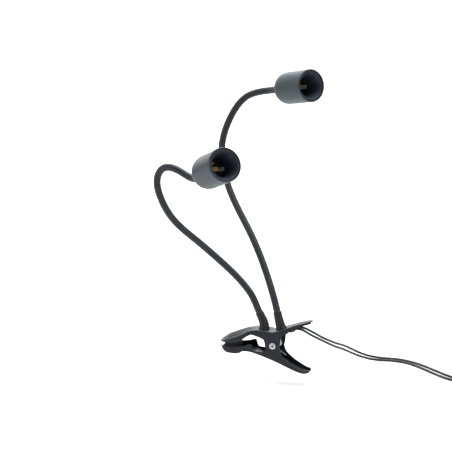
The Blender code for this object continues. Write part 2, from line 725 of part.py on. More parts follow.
def make_arm(side):
    arm = ARMS[side]
    path = arm_path(arm)
    total = arc_lengths(path)[-1]
    first, middle, last = arm_joints(arm, path)
    foot = seat_point(arm["foot_x"])
    normal = seat_normal(arm["foot_x"])
    pole = Vector(arm["pole"]) * MM
    axis = Vector(arm["axis"]).normalized()

    in_boot = STUD_IN_HOSE
    below = SHEET + GAP + NUT_THICK
    stud(side + "_foot_stud", foot, normal, below + 0.6 * MM, in_boot)
    hex_nut(side + "_foot_nut", foot - normal * (SHEET + GAP), -normal)

    boot_points = [foot - normal * 2 * MM] + stretch(path, GAP, BOOT_LENGTH, 3.7 * MM)
    heights = arc_lengths(np.array([tuple(point) for point in boot_points]))
    taper = [BOOT_R + (HOSE_R + 0.25 * MM - BOOT_R) * (height / heights[-1]) ** 0.8
             for height in heights]
    boot = as_mesh(tube(side + "_boot", [tuple(p) for p in boot_points], BOOT_R, "rubber",
                        HOSE_SIDES_RES, taper))
    trim = block(side + "_boot_trim", (6 * BOOT_R, 6 * BOOT_R, 6 * MM), None,
                 collection="cutters")
    cut_by(boot, stand(trim, foot - normal * (6 * MM - GAP), normal))
    cut_by(boot, hole(side + "_boot_bore", STUD_R + FIT, 2 * STUD_IN_HOSE, foot, normal,
                      start=-STUD_IN_HOSE + 2 * GAP))

    hose_piece(side + "_hose_foot", path, BOOT_LENGTH + GAP, first, False, True)
    hose_piece(side + "_hose_lower", path, first, middle, True, True)
    hose_piece(side + "_hose_upper", path, middle, last, True, True)
    end = hose_piece(side + "_hose_neck", path, last, total - 0.1 * MM, True, False)
    cut_by(end, ball_cutter(side + "_dome_cut", CUP_R + GAP, pole + axis * CUP_R))
    cut_by(end, hole(side + "_neck_bore", STUD_R + FIT, STUD_IN_HOSE + 2 * MM, pole, -axis,
                     start=-2 * MM))
    inside = CUP_WALL + GAP + 1.2 * MM
    stud(side + "_neck_stud", pole, axis, STUD_IN_HOSE - GAP, inside + NUT_THICK + 0.6 * MM)
    hex_nut(side + "_neck_nut", pole + axis * inside, axis)


# ---------------------------------------------------------------- lampholder cups
def arc_profile(radius, start, end, count):
    """Points on a circle about the axis; angles are measured from the mouth's side."""
    points = []
    for i in range(count + 1):
        angle = math.radians(start + (end - start) * i / count)
        points.append((radius * math.sin(angle), radius * math.cos(angle)))
    return points


def strip(name, path, width, look, position, rotation):
    """A bent metal strip: a path in XZ, given width in Y, and thickened."""
    bm = bmesh.new()
    rows = [[bm.verts.new((x, side * width / 2, z)) for side in (-1, 1)] for x, z in path]
    for row, following in zip(rows, rows[1:]):
        bm.faces.new((row[0], row[1], following[1], following[0]))
    mesh = bpy.data.meshes.new(name)
    bm.to_mesh(mesh)
    bm.free()
    obj = put(bpy.data.objects.new(name, mesh), look)
    shell = obj.modifiers.new("metal", "SOLIDIFY")
    shell.thickness = CONTACT_T
    shell.offset = 0.0
    shell.use_even_offset = True
    obj.rotation_mode = "QUATERNION"
    obj.rotation_quaternion = rotation
    obj.location = position
    return obj


def make_cup(side):
    arm = ARMS[side]
    axis = Vector(arm["axis"]).normalized()
    centre = Vector(arm["pole"]) * MM + axis * CUP_R
    facing = axis.to_track_quat("Z", "Y")
    inner = CUP_R - CUP_WALL
    bore = STUD_R + FIT
    outer_end = 180 - math.degrees(math.asin(bore / CUP_R))
    inner_end = 180 - math.degrees(math.asin(bore / inner))
    shell = [(CUP_R, CUP_LENGTH)] + arc_profile(CUP_R, 90, outer_end, 6)
    shell += list(reversed(arc_profile(inner, 90, inner_end, 5))) + [(inner, CUP_LENGTH)]
    stand(turned(side + "_cup", shell, "cup_paint", closed=True, steps=CUP_STEPS), centre, axis)

    front = CUP_LENGTH - INSERT_RECESS
    body_r = inner - GAP
    back = front - INSERT_DEPTH
    sleeve = [(MOUTH_R, front), (body_r, front), (body_r, back), (THREAD_R, back),
              (THREAD_R, front - LEAD_IN)]
    stand(turned(side + "_lampholder", sleeve, "moulding", closed=True, steps=CUP_STEPS),
          centre, axis)
    base_top = back - GAP
    base = [(0.0, base_top), (body_r, base_top), (body_r, base_top - HOLDER_BASE_T),
            (0.0, base_top - HOLDER_BASE_T)]
    stand(turned(side + "_holder_base", base, "moulding", closed=False, steps=CUP_STEPS),
          centre, axis)

    lift = base_top + GAP + CONTACT_T / 2
    tongue = [(-10.5, 0.0), (-7.5, 0.0), (-5.0, 1.4), (2.5, 4.6), (4.2, 4.4)]
    tab = [(6.6, 0.0), (10.2, 0.0), (10.9, 0.7), (11.0, 6.4), (9.6, 8.0)]
    for name, path, width, look in (("_centre_contact", tongue, 5.0 * MM, "brass"),
                                    ("_side_contact", tab, 5.0 * MM, "steel")):
        placed = [(x * MM, z * MM + lift) for x, z in path]
        strip(side + name, placed, width, look, centre, facing)


# ---------------------------------------------------------------- leads
# Each lead runs from its anchor under the upper handle down to the floor, to the switch
RIGHT_LEAD = [
    (80.9, 2.7, 21.4), (84.6, 2.7, 22.8), (88.6, 3.3, 23.1), (92.8, 5.2, 21.8),
    (97.4, 8.6, 19.0), (102.6, 14.0, 14.6), (109.4, 25.7, 6.8), (117.1, 43.0, -2.6),
    (123.6, 63.0, -11.6), (130.4, 84.6, -20.4), (138.0, 103.6, -30.4),
    (147.6, 119.0, -39.4), (159.4, 131.0, -45.6), (174.0, 137.5, -48.3),
    (192.0, 138.0, -48.4), (212.0, 131.0, -48.4), (231.0, 117.0, -48.4),
    (248.0, 101.0, -48.4), (264.0, 86.0, -48.4), (279.0, 75.0, -47.8), (288.0, 71.4, -45.8),
    (293.0, 70.5, -45.2), (297.0, 70.5, -45.2),
]
LEFT_LEAD = [
    (80.9, -6.5, 21.4), (84.6, -6.5, 22.8), (88.6, -5.7, 22.9), (92.8, -3.0, 21.1),
    (97.4, 2.6, 16.8), (102.6, 10.2, 11.2), (109.8, 24.2, 3.0), (117.8, 41.0, -6.6),
    (124.2, 60.0, -15.6), (131.6, 80.6, -24.8), (140.0, 98.0, -34.2), (149.8, 112.0, -41.8),
    (161.5, 122.4, -46.8), (175.0, 128.0, -48.4), (191.0, 128.6, -48.4),
    (209.0, 122.6, -48.4), (226.0, 109.0, -48.4), (243.0, 92.4, -48.4),
    (259.0, 77.0, -48.4), (276.0, 65.4, -47.8), (288.0, 61.2, -45.8), (293.0, 60.5, -45.2),
    (297.0, 60.5, -45.2),
]
# Mains lead from the switch's strain relief to the coil, and from the coil to the plug
MAINS_LEAD = [
    (385.0, 65.5, -44.4), (390.6, 64.8, -45.2), (396.0, 62.3, -46.4),
    (400.6, 58.2, -47.3), (403.7, 52.6, -47.5), (405.0, 45.5, -47.5),
    (405.0, 37.0, -47.3), (405.0, 29.0, -46.6), (405.0, 22.6, -46.2),
]
MAINS_TAIL = [
    (405.0, -22.6, -41.6), (405.0, -30.0, -42.2), (405.0, -38.0, -43.1),
    (405.0, -46.0, -43.5),
]
# Each thin wire from its foot stud to the anchor, inside the upper lever
LEFT_WIRE = [
    (42.4, 0.0, 12.2), (42.4, -0.2, 10.6), (43.3, -1.6, 8.9), (45.5, -3.6, 8.3),
    (49.0, -5.6, 8.8), (55.0, -6.8, 9.6), (63.0, -7.2, 11.4), (71.0, -7.2, 14.8),
    (76.0, -6.7, 18.4), (80.4, -6.5, 21.2),
]
RIGHT_WIRE = [
    (66.8, 0.3, 14.7), (67.6, 1.2, 13.3), (69.6, 2.5, 12.9), (72.6, 3.0, 15.0),
    (76.0, 2.8, 18.6), (80.4, 2.7, 21.2),
]


def lead_tube(name, points, radius, step):
    path = smooth_curve([(x * MM, y * MM, z * MM) for x, y, z in points], step)
    return tube(name, [tuple(point) for point in path], radius, "lead_black", 2)


def anchor_top():
    return seat_point(ANCHOR_X) - seat_normal(ANCHOR_X) * (SHEET + GAP)


def make_anchor():
    """Moulded block under the upper handle that holds both leads, clear of the spring."""
    top = anchor_top()
    normal = seat_normal(ANCHOR_X)
    along = Vector((normal.z, 0.0, -normal.x))
    turn = Matrix((along, Vector((0, 1, 0)), normal)).transposed().to_4x4()

    def settle(obj, depth, y):
        obj.matrix_world = Matrix.Translation(top - normal * depth + Vector((0, y, 0))) @ turn

    width = ANCHOR_FAR - ANCHOR_NEAR
    body = block("lead_anchor", (ANCHOR_LENGTH, width, ANCHOR_T), "moulding", 0.5 * MM)
    settle(body, ANCHOR_T, (ANCHOR_FAR + ANCHOR_NEAR) / 2)
    slot_size = (3 * ANCHOR_LENGTH, 2 * (SPRING_WIRE_R + FIT), 2 * ANCHOR_T)
    slot = block("anchor_slot", slot_size, None, collection="cutters")
    angle = math.radians(SPRING_UPPER_ANGLE)
    reach = ANCHOR_X + ANCHOR_LENGTH / 2 - SPRING_COIL_R * math.cos(angle)
    highest = Vector(leg_point(angle, -reach / math.sin(angle), SPRING_NEAR_Y))
    bridge = (top - highest).dot(normal) - SPRING_WIRE_R - LEG_ROOM
    settle(slot, 2 * ANCHOR_T + bridge, SPRING_NEAR_Y)
    cut_by(body, slot)
    for side, y in LEAD_LANES:
        place = top - normal * LEAD_DEPTH + Vector((0, y, 0))
        cut_by(body, hole(side + "_anchor_hole", LEAD_R + LEAD_FIT, 3 * ANCHOR_LENGTH, place,
                          along, start=-1.5 * ANCHOR_LENGTH))


# ---------------------------------------------------------------- switch and plug
def rounded(length, width, corner, count=4):
    """Outline of a rectangle with round corners, centred on the origin."""
    points = []
    for quarter, (sx, sy) in enumerate(((1, 1), (-1, 1), (-1, -1), (1, -1))):
        for i in range(count):
            angle = math.pi / 2 * (quarter + i / (count - 1))
            points.append((sx * (length / 2 - corner) + corner * math.cos(angle),
                           sy * (width / 2 - corner) + corner * math.sin(angle)))
    return points


def slab(name, points, thickness, look, base_z, collection=COLLECTION_NAME):
    """A flat outline made solid, moved to the switch's place at a height."""
    obj = outline(name, points, thickness, look, collection)
    obj.location = (SWITCH_X, SWITCH_Y, base_z)
    return obj


def rocker_outline():
    """Side view about the pin: two top faces in a shallow V, ends round about the pin."""
    high = 3.2 * MM
    reach = math.hypot(ROCKER_LENGTH / 2, high)
    top = math.degrees(math.atan2(high, ROCKER_LENGTH / 2))
    end = []
    for i in range(5):
        angle = math.radians(top - (top + 15) * i / 4)
        end.append((reach * math.cos(angle), reach * math.sin(angle)))
    right = end + [(0.55 * reach, -high)]
    return [(0.0, 0.62 * high)] + right + [(-x, z) for x, z in reversed(right)], reach


def make_switch():
    floor = FLOOR_Z
    outer = rounded(SWITCH_LENGTH, SWITCH_WIDTH, SWITCH_CORNER)
    inner = rounded(SWITCH_LENGTH - 2 * SWITCH_WALL, SWITCH_WIDTH - 2 * SWITCH_WALL,
                    SWITCH_CORNER - SWITCH_WALL)
    base = slab("switch_base", outer, SWITCH_BASE_H, "moulding", floor)
    cut_by(base, slab("switch_room", inner, SWITCH_BASE_H, None, floor + SWITCH_FLOOR,
                      "cutters"))
    left_wall = SWITCH_X - SWITCH_LENGTH / 2
    right_wall = SWITCH_X + SWITCH_LENGTH / 2
    for number, sign in enumerate((1, -1)):
        place = (left_wall, SWITCH_Y + sign * LEAD_SPACING / 2, floor + LEAD_HOLE_H)
        cut_by(base, hole("lead_hole_%d" % number, LEAD_R + FIT, 6 * SWITCH_WALL, place,
                          (1, 0, 0), start=-3 * SWITCH_WALL))
    mains_at = Vector((right_wall, SWITCH_Y, floor + MAINS_HOLE_H))
    cut_by(base, hole("mains_hole", RELIEF_NECK_R + FIT, 6 * SWITCH_WALL, mains_at,
                      (1, 0, 0), start=-3 * SWITCH_WALL))
    relief = [(0.0, RELIEF_LENGTH), (RELIEF_TIP_R, RELIEF_LENGTH), (RELIEF_R, 0.0),
              (RELIEF_NECK_R, 0.0), (RELIEF_NECK_R, -GAP - SWITCH_WALL),
              (0.0, -GAP - SWITCH_WALL)]
    stand(turned("mains_strain_relief", relief, "rubber", closed=False, steps=20),
          mains_at + Vector((GAP, 0, 0)), (1, 0, 0))

    cover_z = floor + SWITCH_BASE_H + GAP
    top = cover_z + SWITCH_COVER_H
    cover = slab("switch_cover", outer, SWITCH_COVER_H, "moulding", cover_z)
    profile, reach = rocker_outline()
    well = 2 * (reach + ROCKER_GAP)
    pin_z = top - ROCKER_SINK
    for number, sign in ((1, -1), (2, 1)):
        y = SWITCH_Y + sign * ROCKER_OFFSET
        pocket = block("rocker_well_%d" % number,
                       (well, ROCKER_WIDTH + 2 * ROCKER_GAP, 3 * SWITCH_COVER_H), None,
                       collection="cutters")
        pocket.location = (SWITCH_X, y, cover_z - SWITCH_COVER_H)
        cut_by(cover, pocket)
        reach_y = ROCKER_WIDTH + 2 * ROCKER_PIN_REACH + 2 * FIT
        cut_by(cover, hole("rocker_pin_hole_%d" % number, ROCKER_PIN_R + FIT, reach_y,
                           (SWITCH_X, y, pin_z), (0, 1, 0), sides=16, start=-reach_y / 2))
        make_rocker(number, profile, Vector((SWITCH_X, y, pin_z)))
    for number, (x, y) in enumerate(((-27.0 * MM, 0.0), (27.0 * MM, 9.5 * MM)), start=1):
        place = Vector((SWITCH_X + x, SWITCH_Y + y, floor))
        length = SWITCH_BASE_H + 0.6 * SWITCH_COVER_H
        cut_by(base, hole("screw_seat_%d" % number, SCREW_HEAD_R + FIT,
                          SCREW_HEAD_T + 2 * FIT + 2 * MM, place, (0, 0, 1), start=-2 * MM))
        cut_by(base, hole("screw_pass_%d" % number, SCREW_R + FIT, 4 * SWITCH_FLOOR, place,
                          (0, 0, 1), sides=16, start=-SWITCH_FLOOR))
        cut_by(cover, hole("screw_thread_%d" % number, SCREW_R + FIT, length + 1 * MM,
                           place, (0, 0, 1), sides=16))
        screw = [(0.0, length), (SCREW_R, length - SCREW_R),
                 (SCREW_R, 1.5 * FIT + SCREW_HEAD_T), (SCREW_HEAD_R, 1.5 * FIT + SCREW_HEAD_T),
                 (SCREW_HEAD_R, 1.5 * FIT), (0.0, 1.5 * FIT)]
        stand(turned("switch_screw_%d" % number, screw, "steel", closed=False, steps=16),
              place, (0, 0, 1))


def make_rocker(number, profile, pin):
    """A rocker with its pin's two ends, tilted to its off position."""
    name = "rocker_%d" % number
    body = outline(name + "_body", profile, ROCKER_WIDTH, "moulding", "cutters")
    body.matrix_world = Matrix.Rotation(math.pi / 2, 4, "X") @ Matrix.Translation(
        (0.0, 0.0, -ROCKER_WIDTH / 2))
    half = ROCKER_WIDTH / 2 + ROCKER_PIN_REACH
    rocker = rod(name, ROCKER_PIN_R, 2 * half, "moulding", sides=16, start=-half)
    stand(rocker, (0, 0, 0), (0, 1, 0))
    bpy.context.view_layer.update()
    rocker.data.transform(rocker.matrix_world)
    rocker.rotation_quaternion = (1, 0, 0, 0)
    join = rocker.modifiers.new("body", "BOOLEAN")
    join.operation = "UNION"
    join.solver = "EXACT"
    join.object = body
    body.hide_render = True
    body.display_type = "WIRE"
    body.parent = rocker
    rocker.location = pin
    rocker.rotation_mode = "XYZ"
    rocker.rotation_euler = (0.0, math.radians(ROCKER_TILT), 0.0)


def make_plug():
    """Two-pin plug, lying flat, with its pins towards -Y."""
    half = PLUG_WIDTH / 2
    tail = 0.28 * PLUG_THICK
    start = PLUG_TAIL_Y
    root = start - PLUG_TAIL
    face = root - PLUG_LENGTH
    points = [(tail, start), (1.5 * tail, root), (0.62 * half, root - 0.1 * PLUG_LENGTH),
              (half - 1.0 * MM, root - 0.42 * PLUG_LENGTH), (half, root - 0.62 * PLUG_LENGTH),
              (half, face)]
    points = points + [(-x, y) for x, y in reversed(points)]
    points.reverse()
    centre = Vector((MAINS_TAIL[-1][0] * MM, 0.0, FLOOR_Z))
    body = outline("plug_body", points, PLUG_THICK, "moulding")
    body.location = centre
    rim = body.modifiers.new("edges", "BEVEL")
    rim.width = 2.2 * MM
    rim.segments = 2
    for number, sign in ((1, -1), (2, 1)):
        place = centre + Vector((sign * PIN_SPACING / 2, face, PLUG_THICK / 2))
        profile = [(0.0, PIN_LENGTH), (0.6 * PIN_R, PIN_LENGTH),
                   (PIN_R, PIN_LENGTH - 0.6 * PIN_R), (PIN_R, -6 * MM), (0.0, -6 * MM)]
        pin = stand(turned("plug_pin_%d" % number, profile, "brass", closed=False, steps=16),
                    place, (0, -1, 0))
        cut_by(body, hole("plug_pin_hole_%d" % number, PIN_R + FIT, 9 * MM, place,
                          (0, -1, 0), sides=16, start=-6 * MM - GAP))


def make_coil():
    lift = FLOOR_Z + TIE_T + GAP + 0.1 * MM
    round_off = 2.0 * MM
    inside = COIL_MEAN_R - COIL_HALF_WIDTH
    outside = COIL_MEAN_R + COIL_HALF_WIDTH
    ring = [(outside - round_off, COIL_HEIGHT), (outside, COIL_HEIGHT - round_off),
            (outside, round_off), (outside - round_off, 0.0), (inside + round_off, 0.0),
            (inside, round_off), (inside, COIL_HEIGHT - round_off),
            (inside + round_off, COIL_HEIGHT)]
    centre = Vector((COIL_X, COIL_Y, lift))
    stand(turned("mains_coil", ring, "lead_black", closed=True, steps=32), centre, (0, 0, 1))
    tie_inside = math.sqrt(inside ** 2 - (TIE_WIDTH / 2) ** 2) - GAP
    tie_length = outside + GAP - tie_inside
    tie_height = COIL_HEIGHT + 2 * GAP
    tie = outline("coil_tie", rounded(tie_length + 2 * TIE_T, tie_height + 2 * TIE_T,
                                      round_off + TIE_T), TIE_WIDTH, "rubber")
    room = outline("tie_room", rounded(tie_length, tie_height, round_off), 3 * TIE_WIDTH,
                   None, "cutters")
    room.location = (0.0, 0.0, -TIE_WIDTH)
    cut_by(tie, room)
    room.parent = tie
    spin = Matrix.Rotation(math.radians(TIE_ANGLE), 4, "Z")
    place = Matrix.Translation((tie_inside + tie_length / 2, TIE_WIDTH / 2, COIL_HEIGHT / 2))
    tie.matrix_world = Matrix.Translation(centre) @ spin @ place @ Matrix.Rotation(
        math.pi / 2, 4, "X")


def make_leads():
    make_anchor()
    lead_tube("left_inner_wire", LEFT_WIRE, WIRE_R, 2.4 * MM)
    lead_tube("right_inner_wire", RIGHT_WIRE, WIRE_R, 2.4 * MM)
    lead_tube("left_lead", LEFT_LEAD, LEAD_R, 6.5 * MM)
    lead_tube("right_lead", RIGHT_LEAD, LEAD_R, 6.5 * MM)
    lead_tube("mains_lead", MAINS_LEAD, MAINS_R, 6.0 * MM)
    lead_tube("mains_tail", MAINS_TAIL, MAINS_R, 8.0 * MM)


def main():
    clear_scene()
    make_levers()
    make_rivet()
    make_spring()
    for side in ARMS:
        make_arm(side)
        make_cup(side)
    make_leads()
    make_switch()
    make_coil()
    make_plug()


main()
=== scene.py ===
"""Looks for the twin gooseneck clip lamp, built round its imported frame.

Metres, +Z up.  X runs along the clip, from the jaws (-X) to the handles (+X), and the
clip's rivet lies along Y.  The origin is the middle of the upper pad's grip face.
"""
import json
import math

import bmesh
import bpy
import numpy as np
from mathutils import Matrix, Vector

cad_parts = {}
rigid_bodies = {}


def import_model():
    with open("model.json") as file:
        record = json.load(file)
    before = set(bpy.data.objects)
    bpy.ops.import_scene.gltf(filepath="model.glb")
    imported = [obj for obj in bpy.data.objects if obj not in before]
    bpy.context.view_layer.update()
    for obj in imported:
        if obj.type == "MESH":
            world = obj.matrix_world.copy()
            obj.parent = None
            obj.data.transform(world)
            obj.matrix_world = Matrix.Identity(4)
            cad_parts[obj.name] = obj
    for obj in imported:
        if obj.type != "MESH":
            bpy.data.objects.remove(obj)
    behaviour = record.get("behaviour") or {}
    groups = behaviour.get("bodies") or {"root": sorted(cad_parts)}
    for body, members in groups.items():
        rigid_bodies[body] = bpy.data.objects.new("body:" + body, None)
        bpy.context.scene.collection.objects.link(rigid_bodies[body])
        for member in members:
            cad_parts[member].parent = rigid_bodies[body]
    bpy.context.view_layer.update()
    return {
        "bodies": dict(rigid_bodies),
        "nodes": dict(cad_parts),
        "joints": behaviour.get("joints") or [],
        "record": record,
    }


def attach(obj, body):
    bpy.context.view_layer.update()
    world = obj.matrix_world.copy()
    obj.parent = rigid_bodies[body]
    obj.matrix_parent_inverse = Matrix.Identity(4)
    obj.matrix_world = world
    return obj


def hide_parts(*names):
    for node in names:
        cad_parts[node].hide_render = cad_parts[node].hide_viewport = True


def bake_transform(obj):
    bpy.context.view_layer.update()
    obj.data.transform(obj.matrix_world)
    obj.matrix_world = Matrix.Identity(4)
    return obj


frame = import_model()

MM = 0.001

# ---------------------------------------------------------------- sizes
SHEET = 1.0 * MM
JAW_LENGTH = 69.5 * MM
HANDLE_LENGTH = 47.5 * MM
CLIP_HALF_WIDTH = 14.0 * MM
LOWER_HALF_WIDTH = 12.6 * MM
EDGE_RADIUS = 2.6 * MM
RIVET_X = 57.0 * MM
RIVET_R = 2.5 * MM
RIVET_HEAD_R = 4.15 * MM
RIVET_HEAD_T = 1.3 * MM
SPRING_WIRE_R = 0.9 * MM
SPRING_COIL_R = 6.0 * MM
SPRING_TURNS = 6
SPRING_NEAR_Y = -2.6 * MM
UPPER_LEG = 41.0 * MM
LOWER_LEG = 20.0 * MM
FOOT_STRAIGHT = 2.5 * MM

HOSE_R = 4.65 * MM
HOSE_RIB = 0.28 * MM            # depth of the sleeve's spiral groove
HOSE_PITCH = 2.4 * MM
BOOT_R = 6.65 * MM
BOOT_LENGTH = 22.0 * MM
FIRST_JOINT = 46.0 * MM
LAST_JOINT = 26.0 * MM

CUP_R = 20.5 * MM
CUP_WALL = 1.2 * MM
CUP_LENGTH = 43.7 * MM
INSERT_RECESS = 1.6 * MM
INSERT_DEPTH = 30.0 * MM
THREAD_R = 13.5 * MM
THREAD_PITCH = 3.62 * MM
THREAD_DEPTH = 0.9 * MM
MOUTH_R = 17.0 * MM
LEAD_IN = 5.0 * MM
GAP = 0.3 * MM

FLOOR_Z = -50.0 * MM
PAPER_GLOW = 0.42               # added to the floor where the camera sees it
MIRROR_GLOW = 1.6               # added to the wall behind, in reflections only
AIR_LIGHT = 0.22                # the world's strength, except to the camera
VIEW_TURN = 17.4725             # degrees the floor and the camera are turned
LEAD_R = 1.6 * MM
MAINS_R = 2.5 * MM
COIL_CENTRE = (366.2 * MM, 0.0)
COIL_OUTER = 38.8 * MM          # centre line of the outermost turn
COIL_INNER = 21.3 * MM
COIL_LAYERS = (-46.0 * MM, -41.0 * MM)

SWITCH_CENTRE = (326.0 * MM, 65.5 * MM)
SWITCH_SIZE = (68.0 * MM, 32.0 * MM)
SWITCH_CORNER = 5.0 * MM
SWITCH_BASE_H = 10.0 * MM
SWITCH_COVER_H = 8.0 * MM
ROCKER_PINS = {"rocker_1": 58.5 * MM, "rocker_2": 72.5 * MM}
ROCKER_PIN_Z = -34.3 * MM
ROCKER_LENGTH = 14.2 * MM
ROCKER_WIDTH = 9.0 * MM
ROCKER_RISE = 3.2 * MM
ROCKER_GAP = 0.5 * MM
ROCKER_TILT = 8.0
RELIEF_LENGTH = 24.0 * MM
PLUG_START = (405.0 * MM, -46.3 * MM, -43.5 * MM)
PLUG_TAIL = 22.0 * MM
PLUG_LENGTH = 36.0 * MM
PLUG_HALF = (13.0 * MM, 6.5 * MM)
PIN_R = 2.0 * MM
PIN_LENGTH = 19.0 * MM
PIN_SPACING = 18.6 * MM


# ---------------------------------------------------------------- camera, floor, light
def make_camera():
    data = bpy.data.cameras.new("camera")
    data.lens = 90.93
    data.sensor_width = 36.0
    camera = bpy.data.objects.new("camera", data)
    camera.location = (0.4180, -1.3553, 0.4018)
    camera.rotation_euler = (math.radians(79.866), 0.0, math.radians(VIEW_TURN))
    bpy.context.scene.collection.objects.link(camera)
    bpy.context.scene.camera = camera


def add_light(name, place, aim, width, height, power, shade=(1.0, 1.0, 1.0)):
    data = bpy.data.lights.new(name, "AREA")
    data.shape = "RECTANGLE"
    data.size = width
    data.size_y = height
    data.energy = power
    data.color = shade
    lamp = bpy.data.objects.new(name, data)
    lamp.location = place
    lamp.rotation_euler = (Vector(aim) - Vector(place)).to_track_quat("-Z", "Y").to_euler()
    bpy.context.scene.collection.objects.link(lamp)


def make_studio():
    """A pale floor that sweeps up behind, with soft light from above and both sides."""
    outline = [(-3.0, 0.0), (2.2, 0.0)]
    sweep_r = 0.9
    for i in range(1, 13):
        angle = math.pi / 2 * i / 12
        outline.append((2.2 + sweep_r * math.sin(angle), sweep_r * (1 - math.cos(angle))))
    outline.append((3.1, 3.2))
    half = 4.0
    turn = Matrix.Rotation(math.radians(VIEW_TURN), 3, "Z")
    corners = []
    for along, height in outline:
        for across in (-half, half):
            corners.append(turn @ Vector((across, along, height)) + Vector((0, 0, FLOOR_Z)))
    faces = [(2 * i, 2 * i + 1, 2 * i + 3, 2 * i + 2) for i in range(len(outline) - 1)]
    mesh = bpy.data.meshes.new("floor")
    mesh.from_pydata(corners, [], faces)
    mesh.shade_smooth()
    floor = bpy.data.objects.new("floor", mesh)
    bpy.context.scene.collection.objects.link(floor)
    paper = finish("floor_paper")
    tree = paper.node_tree
    shader = tree.nodes["Principled BSDF"]
    shader.inputs["Emission Color"].default_value = (1.0, 1.0, 1.0, 1.0)
    rays = tree.nodes.new("ShaderNodeLightPath").outputs
    facing = tree.nodes.new("ShaderNodeSeparateXYZ")
    tree.links.new(tree.nodes.new("ShaderNodeNewGeometry").outputs["Normal"],
                   facing.inputs["Vector"])
    wall = ramp(tree, arithmetic(tree, "ABSOLUTE", facing.outputs["Z"], 0.0), 0.8, 0.0)
    mirrored = arithmetic(tree, "MULTIPLY", rays["Is Glossy Ray"], wall)
    glow = arithmetic(tree, "ADD", arithmetic(tree, "MULTIPLY", mirrored, MIRROR_GLOW),
                      arithmetic(tree, "MULTIPLY", rays["Is Camera Ray"], PAPER_GLOW))
    tree.links.new(glow, shader.inputs["Emission Strength"])
    floor.data.materials.append(paper)

    add_light("top_softbox", (0.1, 0.35, 1.75), (0.05, 0.1, 0.0), 1.9, 1.5, 44.0)
    add_light("left_softbox", (-1.5, -0.7, 0.75), (0.0, 0.0, 0.12), 0.6, 1.3, 9.0)
    add_light("right_softbox", (1.6, -0.5, 0.9), (0.1, 0.0, 0.12), 0.5, 1.2, 7.0)
    add_light("back_softbox", (-0.3, 1.3, 1.9), (-0.6, 3.0, 0.6), 2.4, 1.2, 60.0)
    world = bpy.context.scene.world or bpy.data.worlds.new("world")
    bpy.context.scene.world = world
    world.use_nodes = True
    sky = world.node_tree.nodes["Background"]
    sky.inputs["Color"].default_value = (1.0, 1.0, 1.0, 1.0)
    air = world.node_tree
    seen = air.nodes.new("ShaderNodeLightPath").outputs["Is Camera Ray"]
    extra = arithmetic(air, "MULTIPLY", seen, 1.0 - AIR_LIGHT)
    shown = arithmetic(air, "ADD", extra, AIR_LIGHT)
    air.links.new(shown, sky.inputs["Strength"])
    bpy.context.scene.view_settings.view_transform = "Standard"


# ---------------------------------------------------------------- finishes
def new_group(name, inputs, outputs):
    """A shader node group with float inputs and outputs named as given."""
    tree = bpy.data.node_groups.new(name, "ShaderNodeTree")
    for label, value in inputs:
        socket = tree.interface.new_socket(label, in_out="INPUT", socket_type="NodeSocketFloat")
        socket.default_value = value
    for label in outputs:
        tree.interface.new_socket(label, in_out="OUTPUT", socket_type="NodeSocketFloat")
    return tree, tree.nodes.new("NodeGroupInput"), tree.nodes.new("NodeGroupOutput")


def node(tree, kind, operation=None, **values):
    made = tree.nodes.new("ShaderNode" + kind)
    if operation:
        made.operation = operation
    for label, value in values.items():
        made.inputs[label.replace("_", " ")].default_value = value
    return made


def noise(tree, where, scale, detail):
    made = node(tree, "TexNoise", Scale=scale, Detail=detail)
    tree.links.new(where, made.inputs["Vector"])
    return made.outputs["Fac"]


def arithmetic(tree, operation, first, second):
    made = tree.nodes.new("ShaderNodeMath")
    made.operation = operation
    for socket, value in zip(made.inputs, (first, second)):
        if isinstance(value, (int, float)):
            socket.default_value = value
        else:
            tree.links.new(value, socket)
    return made.outputs[0]


def ramp(tree, value, low, high):
    made = tree.nodes.new("ShaderNodeMapRange")
    made.inputs["From Min"].default_value = low
    made.inputs["From Max"].default_value = high
    made.clamp = True
    tree.links.new(value, made.inputs["Value"])
    return made.outputs["Result"]


def build_grain():
    """Fine texture: a height for the bump, and a slow cloudy mask for colour and gloss."""
    tree, given, out = new_group("surface_grain", (("Size", 900.0), ("Cloud Size", 60.0)),
                                 ("Height", "Cloud"))
    where = tree.nodes.new("ShaderNodeTexCoord").outputs["Object"]
    fine = node(tree, "TexNoise", Detail=4.0, Roughness=0.6)
    slow = node(tree, "TexNoise", Detail=3.0)
    for made, label in ((fine, "Size"), (slow, "Cloud Size")):
        tree.links.new(where, made.inputs["Vector"])
        tree.links.new(given.outputs[label], made.inputs["Scale"])
    tree.links.new(fine.outputs["Fac"], out.inputs["Height"])
    tree.links.new(ramp(tree, slow.outputs["Fac"], 0.3, 0.7), out.inputs["Cloud"])
    return tree


def build_marks():
    """Hairline rubs from handling: thin streaks in two directions."""
    tree, given, out = new_group("handling_marks", (("Amount", 0.5),), ("Mask",))
    where = tree.nodes.new("ShaderNodeTexCoord").outputs["Object"]
    streaks = []
    for turn, stretch in ((0.6, (60.0, 2400.0, 900.0)), (2.1, (1900.0, 70.0, 1100.0))):
        lay = tree.nodes.new("ShaderNodeMapping")
        lay.inputs["Rotation"].default_value = (turn, 0.4 * turn, turn)
        lay.inputs["Scale"].default_value = stretch
        tree.links.new(where, lay.inputs["Vector"])
        streaks.append(ramp(tree, noise(tree, lay.outputs["Vector"], 1.0, 2.0), 0.63, 0.72))
    patches = ramp(tree, noise(tree, where, 70.0, 2.0), 0.45, 0.65)
    both = arithmetic(tree, "MAXIMUM", streaks[0], streaks[1])
    shown = arithmetic(tree, "MULTIPLY", both, patches)
    tree.links.new(arithmetic(tree, "MULTIPLY", shown, given.outputs["Amount"]),
                   out.inputs["Mask"])
    return tree


